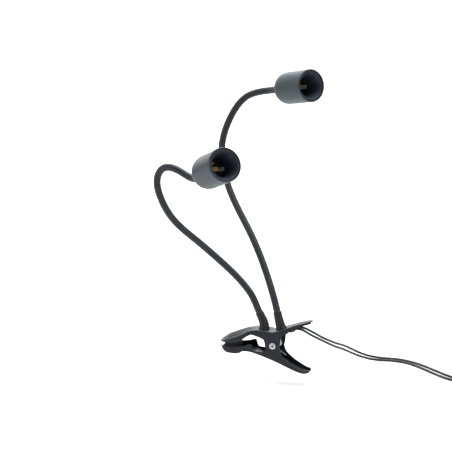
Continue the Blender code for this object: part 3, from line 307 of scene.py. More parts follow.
def build_edges():
    """Worn edges: where the surface turns sharply outwards, broken up by a fine noise."""
    tree, given, out = new_group("edge_wear", (("Amount", 0.5),), ("Mask",))
    where = tree.nodes.new("ShaderNodeTexCoord").outputs["Object"]
    sharp = ramp(tree, tree.nodes.new("ShaderNodeNewGeometry").outputs["Pointiness"],
                 0.53, 0.60)
    broken = ramp(tree, noise(tree, where, 700.0, 4.0), 0.42, 0.62)
    worn = arithmetic(tree, "MULTIPLY", sharp, broken)
    tree.links.new(arithmetic(tree, "MULTIPLY", worn, given.outputs["Amount"]),
                   out.inputs["Mask"])
    return tree


def build_dust():
    """A thin veil of dust on faces that look up."""
    tree, given, out = new_group("settled_dust", (("Amount", 0.1),), ("Mask",))
    where = tree.nodes.new("ShaderNodeTexCoord").outputs["Object"]
    split = tree.nodes.new("ShaderNodeSeparateXYZ")
    tree.links.new(tree.nodes.new("ShaderNodeNewGeometry").outputs["Normal"],
                   split.inputs["Vector"])
    upward = ramp(tree, split.outputs["Z"], 0.3, 1.0)
    specks = ramp(tree, noise(tree, where, 1500.0, 5.0), 0.4, 0.75)
    veil = arithmetic(tree, "MULTIPLY", upward, specks)
    tree.links.new(arithmetic(tree, "MULTIPLY", veil, given.outputs["Amount"]),
                   out.inputs["Mask"])
    return tree


GROUPS = {}


def effect(tree, name, **values):
    builders = {"surface_grain": build_grain, "handling_marks": build_marks,
                "edge_wear": build_edges, "settled_dust": build_dust}
    if name not in GROUPS:
        GROUPS[name] = builders[name]()
    made = tree.nodes.new("ShaderNodeGroup")
    made.node_tree = GROUPS[name]
    for label, value in values.items():
        made.inputs[label.replace("_", " ")].default_value = value
    return made


def mix_colour(tree, mask, first, second):
    made = tree.nodes.new("ShaderNodeMix")
    made.data_type = "RGBA"
    tree.links.new(mask, made.inputs["Factor"])
    for socket, value in ((made.inputs[6], first), (made.inputs[7], second)):
        if isinstance(value, tuple):
            socket.default_value = (*value, 1.0)
        else:
            tree.links.new(value, socket)
    return made.outputs[2]


# name: colour, second colour, roughness, its spread, metallic, coat, grain size,
# grain depth, marks, edge wear, worn colour, dust
FINISHES = {
    "clip_paint": ((0.004, 0.008, 0.014), (0.006, 0.010, 0.018), 0.14, 0.06, 0.0, 1.0,
                   1300.0, 0.006, 0.45, 0.18, (0.12, 0.12, 0.12), 0.02),
    "cup_paint": ((0.036, 0.052, 0.064), (0.044, 0.061, 0.073), 0.38, 0.10, 0.25, 0.10,
                  2600.0, 0.030, 0.35, 0.25, (0.22, 0.24, 0.25), 0.03),
    "hose_sleeve": ((0.008, 0.013, 0.020), (0.011, 0.017, 0.025), 0.36, 0.10, 0.0, 0.0,
                    2400.0, 0.035, 0.25, 0.12, (0.05, 0.06, 0.07), 0.03),
    "boot_rubber": ((0.006, 0.009, 0.013), (0.009, 0.012, 0.017), 0.46, 0.12, 0.0, 0.0,
                    1900.0, 0.060, 0.20, 0.18, (0.045, 0.045, 0.05), 0.03),
    "pad_rubber": ((0.012, 0.012, 0.013), (0.022, 0.022, 0.023), 0.78, 0.12, 0.0, 0.0,
                   1500.0, 0.090, 0.20, 0.25, (0.06, 0.06, 0.06), 0.10),
    "zinc_steel": ((0.58, 0.58, 0.57), (0.70, 0.69, 0.66), 0.28, 0.16, 1.0, 0.0,
                   1700.0, 0.030, 0.60, 0.10, (0.80, 0.80, 0.79), 0.03),
    "spring_steel": ((0.52, 0.52, 0.52), (0.66, 0.66, 0.65), 0.24, 0.12, 1.0, 0.0,
                     2200.0, 0.020, 0.70, 0.05, (0.80, 0.80, 0.79), 0.02),
    "brass": ((0.56, 0.39, 0.16), (0.68, 0.50, 0.24), 0.30, 0.14, 1.0, 0.0,
              1900.0, 0.025, 0.55, 0.10, (0.85, 0.70, 0.40), 0.02),
    "holder_moulding": ((0.012, 0.019, 0.034), (0.018, 0.027, 0.044), 0.48, 0.10, 0.0, 0.0,
                        2100.0, 0.045, 0.20, 0.20, (0.06, 0.07, 0.09), 0.05),
    "switch_moulding": ((0.013, 0.014, 0.016), (0.020, 0.021, 0.024), 0.50, 0.10, 0.0, 0.0,
                        1600.0, 0.080, 0.30, 0.20, (0.06, 0.06, 0.065), 0.08),
    "rocker_moulding": ((0.010, 0.011, 0.012), (0.015, 0.016, 0.018), 0.30, 0.10, 0.0, 0.2,
                        1900.0, 0.020, 0.35, 0.15, (0.06, 0.06, 0.065), 0.05),
    "lead_sheath": ((0.010, 0.011, 0.013), (0.017, 0.018, 0.021), 0.36, 0.10, 0.0, 0.0,
                    1800.0, 0.030, 0.25, 0.05, (0.05, 0.05, 0.055), 0.06),
    "tie_fabric": ((0.014, 0.014, 0.015), (0.030, 0.030, 0.032), 0.85, 0.08, 0.0, 0.0,
                   2600.0, 0.160, 0.10, 0.15, (0.06, 0.06, 0.065), 0.12),
    "floor_paper": ((0.86, 0.86, 0.86), (0.88, 0.88, 0.88), 0.75, 0.05, 0.0, 0.0,
                    300.0, 0.010, 0.0, 0.0, (0.9, 0.9, 0.9), 0.0),
}
DUST_SHADE = (0.32, 0.31, 0.29)


def finish(name):
    """The finish of that name: clouded colour and gloss, grain, rubs, worn edges, dust."""
    found = bpy.data.materials.get(name)
    if found:
        return found
    (colour, second, rough, spread, metallic, coat, size, depth, marks, wear, worn,
     dust) = FINISHES[name]
    made = bpy.data.materials.new(name)
    made.use_nodes = True
    tree = made.node_tree
    shader = tree.nodes["Principled BSDF"]
    shader.inputs["Metallic"].default_value = metallic
    shader.inputs["Coat Weight"].default_value = coat
    shader.inputs["Specular IOR Level"].default_value = 0.5 - 0.45 * coat
    shader.inputs["Coat Roughness"].default_value = 0.06
    grain = effect(tree, "surface_grain", Size=size, Cloud_Size=55.0)
    rubs = effect(tree, "handling_marks", Amount=marks)
    edges = effect(tree, "edge_wear", Amount=wear)
    veil = effect(tree, "settled_dust", Amount=dust)
    shade = mix_colour(tree, grain.outputs["Cloud"], colour, second)
    shade = mix_colour(tree, edges.outputs["Mask"], shade, worn)
    shade = mix_colour(tree, veil.outputs["Mask"], shade, DUST_SHADE)
    tree.links.new(shade, shader.inputs["Base Color"])
    gloss = arithmetic(tree, "MULTIPLY", grain.outputs["Cloud"], spread)
    gloss = arithmetic(tree, "ADD", gloss, rough)
    rubbed = arithmetic(tree, "MULTIPLY", rubs.outputs["Mask"], 0.22)
    gloss = arithmetic(tree, "ADD", gloss, rubbed)
    gloss = arithmetic(tree, "ADD", gloss, veil.outputs["Mask"])
    tree.links.new(gloss, shader.inputs["Roughness"])
    bump = node(tree, "Bump", Strength=min(1.0, depth * 6), Distance=0.15 * MM)
    height = arithmetic(tree, "SUBTRACT", grain.outputs["Height"], rubs.outputs["Mask"])
    tree.links.new(height, bump.inputs["Height"])
    tree.links.new(bump.outputs["Normal"], shader.inputs["Normal"])
    return made


# ---------------------------------------------------------------- making pieces
def put(name, data, look, body, stands_for=()):
    """Make an object of its data, in its finish, on its body, for the frame's nodes."""
    obj = bpy.data.objects.new(name, data)
    bpy.context.scene.collection.objects.link(obj)
    data.materials.append(finish(look))
    if body:
        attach(obj, body)
    if stands_for:
        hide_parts(*stands_for)
    return obj


def grid_mesh(name, rows, round_rows, capped, matrix=None):
    """A mesh through rows of points; round_rows closes each row, capped fills the ends."""
    rows = np.asarray(rows, dtype=float)
    count, across = rows.shape[:2]
    points = rows.reshape(-1, 3)
    faces = []
    for i in range(count - 1):
        for k in range(across if round_rows else across - 1):
            after = (k + 1) % across
            faces.append((i * across + k, i * across + after,
                          (i + 1) * across + after, (i + 1) * across + k))
    if capped:
        faces.append(tuple(range(across)))
        faces.append(tuple(range((count - 1) * across, count * across)))
    mesh = bpy.data.meshes.new(name)
    mesh.from_pydata([tuple(point) for point in points], [], faces)
    bm = bmesh.new()
    bm.from_mesh(mesh)
    bmesh.ops.remove_doubles(bm, verts=bm.verts, dist=1e-7)
    bmesh.ops.recalc_face_normals(bm, faces=bm.faces)
    if matrix is not None:
        bmesh.ops.transform(bm, matrix=matrix, verts=bm.verts)
    bm.to_mesh(mesh)
    bm.free()
    mesh.shade_smooth()
    mesh.set_sharp_from_angle(angle=math.radians(40))
    return mesh


def turned_mesh(name, profile, steps, matrix=None, closed=False):
    """A profile of (radius, height) turned about Z, then moved by matrix."""
    listed = list(profile) + ([profile[0]] if closed else [])
    rows = []
    for radius, height in listed:
        angles = [math.tau * k / steps for k in range(steps)]
        rows.append([(radius * math.cos(a), radius * math.sin(a), height) for a in angles])
    return grid_mesh(name, rows, True, False, matrix)


def rounded_path(corners, radius, count=5):
    """The corners of an open profile, each turned into a small arc."""
    path = [Vector(corners[0])]
    for before, corner, after in zip(corners, corners[1:], corners[2:]):
        corner = Vector(corner)
        back = Vector(before) - corner
        ahead = Vector(after) - corner
        reach = min(radius, 0.45 * back.length, 0.45 * ahead.length)
        start = corner + back.normalized() * reach
        end = corner + ahead.normalized() * reach
        for i in range(count + 1):
            t = i / count
            path.append(start * (1 - t) ** 2 + corner * 2 * t * (1 - t) + end * t ** 2)
    path.append(Vector(corners[-1]))
    return [(point[0], point[1]) for point in path]


def axis_matrix(place, axis):
    turn = Vector(axis).normalized().to_track_quat("Z", "Y").to_matrix().to_4x4()
    return Matrix.Translation(Vector(place)) @ turn


def smooth_curve(points, step):
    """Points every step along a natural cubic spline through the given points."""
    given = np.array(points, dtype=float)
    knots = np.concatenate([[0.0], np.cumsum(np.linalg.norm(np.diff(given, axis=0), axis=1))])
    count = len(knots)
    matrix = np.zeros((count, count))
    right = np.zeros((count, 3))
    matrix[0, 0] = 1.0
    matrix[-1, -1] = 1.0
    for i in range(1, count - 1):
        before = knots[i] - knots[i - 1]
        after = knots[i + 1] - knots[i]
        matrix[i, i - 1:i + 2] = (before, 2 * (before + after), after)
        right[i] = 6 * ((given[i + 1] - given[i]) / after - (given[i] - given[i - 1]) / before)
    bend = np.linalg.solve(matrix, right)

    def at(value):
        i = min(max(int(np.searchsorted(knots, value)) - 1, 0), count - 2)
        width = knots[i + 1] - knots[i]
        a = (knots[i + 1] - value) / width
        b = 1.0 - a
        curved = ((a ** 3 - a) * bend[i] + (b ** 3 - b) * bend[i + 1]) * width ** 2 / 6
        return a * given[i] + b * given[i + 1] + curved

    fine = np.array([at(value) for value in np.linspace(0.0, knots[-1], 60 * count)])
    run = arc_lengths(fine)
    wanted = np.linspace(0.0, run[-1], max(int(round(run[-1] / step)), 2) + 1)
    return np.column_stack([np.interp(wanted, run, fine[:, k]) for k in range(3)])


def arc_lengths(path):
    return np.concatenate([[0.0], np.cumsum(np.linalg.norm(np.diff(path, axis=0), axis=1))])


def path_frames(path):
    """Two directions across the path at each point, carried along without twisting."""
    along = np.gradient(path, axis=0)
    along /= np.linalg.norm(along, axis=1)[:, None]
    first = np.cross(along[0], (0.0, 1.0, 0.0))
    if np.linalg.norm(first) < 0.1:
        first = np.cross(along[0], (1.0, 0.0, 0.0))
    sides = []
    for direction in along:
        first = first - direction * first.dot(direction)
        first /= np.linalg.norm(first)
        sides.append(first)
    sides = np.array(sides)
    return sides, np.cross(along, sides)


def swept_rows(path, frames, radii):
    """Rings round a path; radii is one number, one per ring, or one per ring and side."""
    radii = np.asarray(radii, dtype=float)
    sides = radii.shape[1]
    angles = np.linspace(0.0, math.tau, sides, endpoint=False)
    across, up = frames
    spokes = (across[:, None, :] * np.cos(angles)[None, :, None]
              + up[:, None, :] * np.sin(angles)[None, :, None])
    return path[:, None, :] + spokes * radii[:, :, None]


def wire_mesh(name, path, radius, sides=14):
    path = np.asarray(path, dtype=float)
    radii = np.full((len(path), sides), radius)
    return grid_mesh(name, swept_rows(path, path_frames(path), radii), True, True)


def add_bevel(obj, width, segments=2, angle=40.0):
    bevel = obj.modifiers.new("eased_edges", "BEVEL")
    bevel.width = width
    bevel.segments = segments
    bevel.limit_method = "ANGLE"
    bevel.angle_limit = math.radians(angle)
    bevel.harden_normals = False
    return obj


# ---------------------------------------------------------------- leads
def metres(points):
    return [(x * MM, y * MM, z * MM) for x, y, z in points]


RIGHT_LEAD = metres([
    (80.9, 2.7, 21.4), (84.6, 2.7, 22.8), (88.6, 3.3, 23.1), (92.8, 5.2, 21.8),
    (97.4, 8.6, 19.0), (102.6, 14.0, 14.6), (109.4, 25.7, 6.8), (117.1, 43.0, -2.6),
    (123.6, 63.0, -11.6), (130.4, 84.6, -20.4), (138.0, 103.6, -30.4),
    (147.6, 119.0, -39.4), (159.4, 131.0, -45.6), (174.0, 137.5, -48.3),
    (192.0, 138.0, -48.4), (212.0, 131.0, -48.4), (231.0, 117.0, -48.4),
    (248.0, 101.0, -48.4), (264.0, 86.0, -48.4), (279.0, 75.0, -47.8),
    (288.0, 71.4, -45.8), (293.0, 70.5, -45.2), (299.5, 70.5, -45.2),
])
LEFT_LEAD = metres([
    (80.9, -6.5, 21.4), (84.6, -6.5, 22.8), (88.6, -5.7, 22.9), (92.8, -3.0, 21.1),
    (97.4, 2.6, 16.8), (102.6, 10.2, 11.2), (109.8, 24.2, 3.0), (117.8, 41.0, -6.6),
    (124.2, 60.0, -15.6), (131.6, 80.6, -24.8), (140.0, 98.0, -34.2),
    (149.8, 112.0, -41.8), (161.5, 122.4, -46.8), (175.0, 128.0, -48.4),
    (191.0, 128.6, -48.4), (209.0, 122.6, -48.4), (226.0, 109.0, -48.4),
    (243.0, 92.4, -48.4), (259.0, 77.0, -48.4), (276.0, 65.4, -47.8),
    (288.0, 61.2, -45.8), (293.0, 60.5, -45.2), (299.5, 60.5, -45.2),
])
MAINS_LEAD = metres([
    (385.0, 65.5, -44.4), (390.6, 64.8, -45.2), (396.0, 62.3, -46.4),
    (400.6, 58.2, -47.3), (403.7, 52.6, -47.5), (405.0, 45.5, -47.5),
    (405.0, 37.0, -47.3), (405.0, 29.0, -46.6), (405.0, 22.6, -46.2), (405.0, 11.0, -46.0),
])
MAINS_TAIL = metres([
    (405.0, -11.0, -41.0), (405.0, -22.6, -41.6), (405.0, -30.0, -42.2),
    (405.0, -38.0, -43.1), (405.0, -46.0, -43.5), (405.0, -52.0, -43.5),
])


def coil_turns():
    """Seven turns, clockwise from above: inwards on the floor, then outwards on top."""
    points = []
    turns = 7.0
    count = 14 * int(turns)
    low, high = COIL_LAYERS
    for i in range(count + 1):
        turn = turns * i / count
        if turn <= 3.5:
            radius = COIL_OUTER + (COIL_INNER - COIL_OUTER) * turn / 3.5
            height = low
        else:
            part = (turn - 3.5) / 0.35
            rise = min(part, 1.0)
            height = low + (high - low) * rise * rise * (3 - 2 * rise)
            outward = max(turn - 3.85, 0.0) / 3.15
            radius = COIL_INNER + (COIL_OUTER - COIL_INNER) * outward
        angle = -math.tau * turn
        points.append((COIL_CENTRE[0] + radius * math.cos(angle),
                       COIL_CENTRE[1] + radius * math.sin(angle), height))
    return points


def lead_curve(name, points, radius, look, stands_for):
    """A lead: one smooth line through its points, as thick as its sheath."""
    data = bpy.data.curves.new(name, "CURVE")
    data.dimensions = "3D"
    data.bevel_depth = radius
    data.bevel_resolution = 5
    data.resolution_u = 8
    data.use_fill_caps = True
    line = data.splines.new("BEZIER")
    line.bezier_points.add(len(points) - 1)
    for knot, place in zip(line.bezier_points, points):
        knot.co = place
        knot.handle_left_type = "AUTO"
        knot.handle_right_type = "AUTO"
    return put(name, data, look, "clip_frame", stands_for)


def length_of(obj):
    """Length of a lead's own line, measured on a copy with no thickness."""
    thin = bpy.data.objects.new("line", obj.data.copy())
    thin.data.bevel_depth = 0.0
    bpy.context.scene.collection.objects.link(thin)
    evaluated = thin.evaluated_get(bpy.context.evaluated_depsgraph_get())
    mesh = evaluated.to_mesh()
    places = np.array([vert.co[:] for vert in mesh.vertices])
    total = float(arc_lengths(places)[-1])
    evaluated.to_mesh_clear()
    line = thin.data
    bpy.data.objects.remove(thin)
    bpy.data.curves.remove(line)
    return total


def make_leads():
    right = lead_curve("right_free_lead", RIGHT_LEAD, LEAD_R, "lead_sheath", ("right_lead",))
    left = lead_curve("left_free_lead", LEFT_LEAD, LEAD_R, "lead_sheath", ("left_lead",))
    mains = lead_curve("mains_cord", MAINS_LEAD + coil_turns() + MAINS_TAIL, MAINS_R,
                       "lead_sheath", ("mains_lead", "mains_coil", "mains_tail"))
    round(length_of(mains), 2)


# ---------------------------------------------------------------- the clip's levers
def jaw(part):
    return -part * JAW_LENGTH


def handle(part):
    return part * HANDLE_LENGTH


def in_mm(pairs):
    return [(x, z * MM) for x, z in pairs]


UPPER = {
    "web": in_mm([
        (jaw(1.0), 1.7), (jaw(0.96), 2.2), (jaw(0.86), 4.4), (jaw(0.76), 6.6),
        (jaw(0.58), 12.4), (jaw(0.47), 16.5), (jaw(0.38), 18.2), (-21.6 * MM, 18.7),
        (-7.6 * MM, 18.1), (-1.7 * MM, 17.3), (0.9 * MM, 17.9), (14.9 * MM, 22.6),
        (handle(0.44), 25.0), (handle(0.64), 28.6), (handle(0.84), 31.6),
        (handle(0.95), 33.0), (handle(1.0), 33.4)]),
    "rim": in_mm([
        (jaw(1.0), 0.4), (jaw(0.8), 0.4), (jaw(0.71), 1.5), (jaw(0.61), 4.1),
        (jaw(0.52), 8.0), (jaw(0.46), 10.9), (jaw(0.4), 12.5), (jaw(0.3), 10.9),
        (-13.7 * MM, 8.3),
        (-11.2 * MM, 6.6), (-9.9 * MM, 0.0), (-8.6 * MM, -3.6), (-5.6 * MM, -6.5),
        (-2.0 * MM, -7.8), (2.0 * MM, -7.8), (5.6 * MM, -6.5), (8.6 * MM, -3.6),
        (9.9 * MM, 0.0), (10.3 * MM, 11.6), (13.7 * MM, 15.3), (handle(0.49), 20.8),
        (handle(0.7), 26.0), (handle(0.88), 28.9), (handle(1.0), 30.5)]),
    "half": in_mm([
        (jaw(1.0), -4.5), (jaw(0.97), -1.6), (jaw(0.92), 1.2), (jaw(0.8), 2.6),
        (jaw(0.6), 2.4), (jaw(0.45), 1.2), (-17.0 * MM, 0.0), (12.0 * MM, 0.0),
        (handle(0.4), -2.2), (handle(0.7), -4.6), (handle(0.9), -6.2),
        (handle(0.97), -8.0), (handle(1.0), -9.5)]),
    "crown": in_mm([
        (jaw(1.0), 0.6), (jaw(0.94), 2.8), (jaw(0.84), 5.0), (jaw(0.72), 5.4),
        (jaw(0.55), 4.2), (jaw(0.42), 1.6), (-22.6 * MM, 0.0), (14.9 * MM, 0.0),
        (handle(0.6), 0.5), (handle(1.0), 0.4)]),
    "width": CLIP_HALF_WIDTH, "up": 1.0,
}
LOWER = {
    "web": in_mm([
        (jaw(1.0), -7.3), (jaw(0.96), -9.6), (jaw(0.92), -11.6), (jaw(0.85), -13.4),
        (jaw(0.7), -13.8), (jaw(0.62), -12.3), (jaw(0.57), -10.4), (jaw(0.5), -10.2),
        (jaw(0.39), -11.5), (-11.6 * MM, -16.4), (3.9 * MM, -21.6), (17.2 * MM, -27.1),
        (handle(0.64), -32.4), (handle(0.82), -34.3), (handle(0.93), -33.6),
        (handle(0.967), -32.2)]),
    "rim": in_mm([
        (jaw(1.0), -4.6), (jaw(0.74), -4.9), (jaw(0.61), -3.6), (jaw(0.52), -2.2),
        (jaw(0.43), -0.2), (jaw(0.4), -1.4), (-27.0 * MM, -5.2), (-24.8 * MM, -8.6),
        (-20.0 * MM, -9.4),
        (-14.0 * MM, -9.4), (-10.6 * MM, -6.8), (-8.0 * MM, 0.0), (-5.8 * MM, 5.2),
        (-2.4 * MM, 7.4), (2.4 * MM, 7.4), (5.8 * MM, 5.2), (8.0 * MM, 0.0),
        (9.6 * MM, -7.8), (12.2 * MM, -12.8), (handle(0.38), -17.8), (handle(0.51), -22.2),
        (handle(0.65), -25.8), (handle(0.82), -29.6), (handle(0.967), -30.6)]),
    "half": in_mm([
        (jaw(1.0), -4.0), (jaw(0.97), -0.8), (jaw(0.92), 2.6), (jaw(0.8), 4.2),
        (jaw(0.6), 3.8), (jaw(0.47), 2.2), (jaw(0.38), 0.6), (-22.0 * MM, 0.0),
        (12.0 * MM, 0.0), (handle(0.45), -0.8), (handle(0.8), -2.2), (handle(0.93), -4.6),
        (handle(0.967), -7.6)]),
    "crown": in_mm([
        (jaw(1.0), 0.3), (jaw(0.85), 1.6), (jaw(0.6), 1.2), (jaw(0.38), 0.0),
        (handle(0.4), 0.0), (handle(0.8), 1.0), (handle(0.967), 0.4)]),
    "width": LOWER_HALF_WIDTH, "up": -1.0,
}


def eased(line, places):
    """Heights of an outline at many places, rounded between its corners, never past them."""
    xs = np.array([point[0] for point in line])
    zs = np.array([point[1] for point in line])
    steps = np.diff(xs)
    slopes = np.diff(zs) / steps
    tangents = np.zeros(len(xs))
    for i in range(1, len(xs) - 1):
        if slopes[i - 1] * slopes[i] > 0:
            w1 = 2 * steps[i] + steps[i - 1]
            w2 = steps[i] + 2 * steps[i - 1]
            tangents[i] = (w1 + w2) / (w1 / slopes[i - 1] + w2 / slopes[i])
    tangents[0] = slopes[0]
    tangents[-1] = slopes[-1]
    index = np.clip(np.searchsorted(xs, places) - 1, 0, len(xs) - 2)
    h = steps[index]
    t = np.clip((places - xs[index]) / h, 0.0, 1.0)
    return ((1 + 2 * t) * (1 - t) ** 2 * zs[index] + t * (1 - t) ** 2 * h * tangents[index]
            + t * t * (3 - 2 * t) * zs[index + 1] + t * t * (t - 1) * h * tangents[index + 1])


ARC_STEPS = 7
WEB_STEPS = 12


def lever_rows(lever):
    low = lever["web"][0][0]
    high = lever["web"][-1][0]
    ends = 0.6 * MM
    places = np.concatenate([[low, low + 0.5 * ends], np.arange(low + ends, high - ends, 1.0 * MM),
                             [high - 0.5 * ends, high]])
    up = lever["up"]
    halves = lever["width"] + eased(lever["half"], places)
    tops = eased(lever["web"], places) * up
    rims = eased(lever["rim"], places) * up
    crowns = eased(lever["crown"], places)
    rows = []
    for x, half, top, rim, crown in zip(places, halves, tops, rims, crowns):
        radius = max(min(EDGE_RADIUS, 0.45 * (top - rim), 0.45 * half), 0.2 * MM)
        side = [(half, rim + (top - radius - rim) * i / 4) for i in range(4)]
        for i in range(ARC_STEPS + 1):
            angle = math.pi / 2 * i / ARC_STEPS
            side.append((half - radius + radius * math.cos(angle),
                         top - radius + radius * math.sin(angle)))
        flat = half - radius
        for i in range(1, WEB_STEPS + 1):
            across = flat * (1 - i / WEB_STEPS)
            side.append((across, top + crown * math.cos(math.pi / 2 * across / flat) ** 1.2))
        whole = [(-y, z) for y, z in side] + [(y, z) for y, z in reversed(side[:-1])]
        rows.append([(x + RIVET_X, y, z * up) for y, z in whole])
    return rows


def make_lever(name, lever, body, stands_for):
    rows = lever_rows(lever)
    across = len(rows[0])
    faces = []
    for i in range(len(rows) - 1):
        for k in range(across - 1):
            face = (i * across + k, i * across + k + 1, (i + 1) * across + k + 1,
                    (i + 1) * across + k)
            faces.append(face[::-1] if lever["up"] > 0 else face)
    mesh = bpy.data.meshes.new(name)
    mesh.from_pydata([point for row in rows for point in row], [], faces)
    mesh.shade_smooth()
    obj = put(name, mesh, "clip_paint", body, stands_for)
    shell = obj.modifiers.new("sheet", "SOLIDIFY")
    shell.thickness = SHEET
    shell.offset = -1.0
    shell.use_even_offset = False
    add_bevel(obj, 0.3 * MM, 3, 50.0)
    return obj


def make_clip():
    make_lever("upper_lever_shell", UPPER, "clip_frame", ("upper_lever",))
    make_lever("lower_lever_shell", LOWER, "clip_lower", ("lower_lever",))
    outer = CLIP_HALF_WIDTH + GAP
    top = outer + RIVET_HEAD_T
    head = [(0.0, outer - 1.0 * MM), (0.7 * MM, outer - 0.8 * MM),
            (1.3 * MM, outer + 0.6 * RIVET_HEAD_T), (1.8 * MM, top),
            (0.66 * RIVET_HEAD_R, top), (0.86 * RIVET_HEAD_R, outer + 0.82 * RIVET_HEAD_T),
            (RIVET_HEAD_R, outer + 0.35 * RIVET_HEAD_T), (RIVET_HEAD_R, outer)]
    shank = [(RIVET_R, outer), (RIVET_R, -outer)]
    tail = [(0.86 * RIVET_HEAD_R, -outer), (0.86 * RIVET_HEAD_R, -outer - 0.4 * RIVET_HEAD_T),
            (0.66 * RIVET_HEAD_R, -outer - 0.85 * RIVET_HEAD_T),
            (0.3 * RIVET_HEAD_R, -outer - RIVET_HEAD_T), (0.0, -outer - RIVET_HEAD_T)]
    profile = rounded_path(head + shank + tail, 0.3 * MM, 4)
    mesh = turned_mesh("rivet", profile, 64, axis_matrix((RIVET_X, 0, 0), (0, -1, 0)))
    put("rivet", mesh, "zinc_steel", "clip_frame", ("pivot_rivet",))


# ---------------------------------------------------------------- spring
def coil_point(angle, y):
    return (RIVET_X + SPRING_COIL_R * math.cos(angle), y, SPRING_COIL_R * math.sin(angle))


def leg_point(angle, distance, y):
    x, _, z = coil_point(angle, y)
    return (x - distance * math.sin(angle), y, z + distance * math.cos(angle))


def make_spring():
    """The coil and upper leg stay with the upper lever; the lower leg swings with its own."""
    pitch = 2 * SPRING_WIRE_R + 0.1 * MM
    upper_angle = math.radians(122)
    lower_angle = math.radians(232)
    sweep = lower_angle - upper_angle + math.tau * (SPRING_TURNS - 1)
    count = int(28 * sweep / math.tau)
    path = [leg_point(upper_angle, -UPPER_LEG * part, SPRING_NEAR_Y)
            for part in (1.0, 0.7, 0.4, 0.15, 0.03)]
    for i in range(count + 1):
        angle = upper_angle + sweep * i / count
        path.append(coil_point(angle, SPRING_NEAR_Y + pitch * sweep / math.tau * i / count))
    far_y = path[-1][1]
    put("spring_coil", wire_mesh("spring_coil", path, SPRING_WIRE_R), "spring_steel",
        "clip_frame", ("torsion_spring",))
    overlap = math.radians(34)
    leg = [coil_point(lower_angle - overlap * (1 - i / 8), far_y) for i in range(9)]
    leg += [leg_point(lower_angle, LOWER_LEG * part, far_y)
            for part in (0.03, 0.15, 0.4, 0.7, 1.0)]
    put("spring_lower_leg", wire_mesh("spring_lower_leg", leg, 1.01 * SPRING_WIRE_R),
        "spring_steel", "clip_lower", ("torsion_spring",))


# ---------------------------------------------------------------- flexible arms
ARMS = {
    "right": {
        "foot": (64.9 * MM, 0.0, 20.246 * MM), "normal": (-0.3183, 0.0, 0.948),
        "route": metres([
            (57.6, 4.0, 43.0), (47.5, 11.9, 69.5), (37.0, 20.2, 91.8), (12.7, 37.0, 133.5),
            (-15.2, 54.6, 173.2), (-34.9, 69.3, 218.2), (-37.9, 75.9, 242.9),
            (-33.0, 82.2, 267.8), (-22.6, 87.6, 290.2), (-5.0, 89.8, 307.2)]),
        "pole": (41.8 * MM, 72.8 * MM, 316.8 * MM), "axis": (0.779, -0.616, 0.116),
        "middle": 0.50},
    "left": {
        "foot": (42.4 * MM, 0.0, 18.4 * MM), "normal": (0.0428, 0.0, 0.9991),
        "route": metres([
            (35.4, 2.6, 37.5), (25.7, 5.2, 56.4), (12.7, 6.0, 73.2), (-16.5, -0.6, 103.0),
            (-43.8, -16.0, 131.3), (-68.5, -34.4, 161.0), (-80.0, -44.0, 188.0),
            (-82.2, -49.0, 210.0), (-73.5, -53.6, 224.6), (-58.0, -57.4, 226.6)]),
        "pole": (-13.9 * MM, -79.5 * MM, 222.8 * MM), "axis": (0.67, -0.682, 0.294),
        "middle": 0.52},
}
HOSE_SIDES = 26
RINGS_PER_RIB = 8


def arm_path(arm):
    foot = Vector(arm["foot"])
    normal = Vector(arm["normal"]).normalized()
    pole = Vector(arm["pole"])
    axis = Vector(arm["axis"]).normalized()
    points = [foot, foot + normal * FOOT_STRAIGHT]
    points += [Vector(point) for point in arm["route"]]
    points += [pole - axis * distance for distance in (24.0 * MM, 12.0 * MM, 0.0)]
    path = smooth_curve([tuple(point) for point in points], HOSE_PITCH / RINGS_PER_RIB)
    beyond = np.array([tuple(pole + axis * part * MM) for part in (0.25, 0.5)])
    return np.vstack([path, beyond])


def hose_rows(path, frames, run, start, end):
    """The sleeve from start to end along its arm, with one shallow spiral groove."""
    chosen = (run >= start - 1e-6) & (run <= end + 1e-6)
    angles = np.linspace(0.0, math.tau, HOSE_SIDES, endpoint=False)
    phase = run[chosen][:, None] / HOSE_PITCH + angles[None, :] / math.tau
    wave = 0.5 + 0.5 * np.cos(math.tau * phase)
    radii = HOSE_R - HOSE_RIB * wave ** 4
    across, up = frames
    return swept_rows(path[chosen], (across[chosen], up[chosen]), radii)


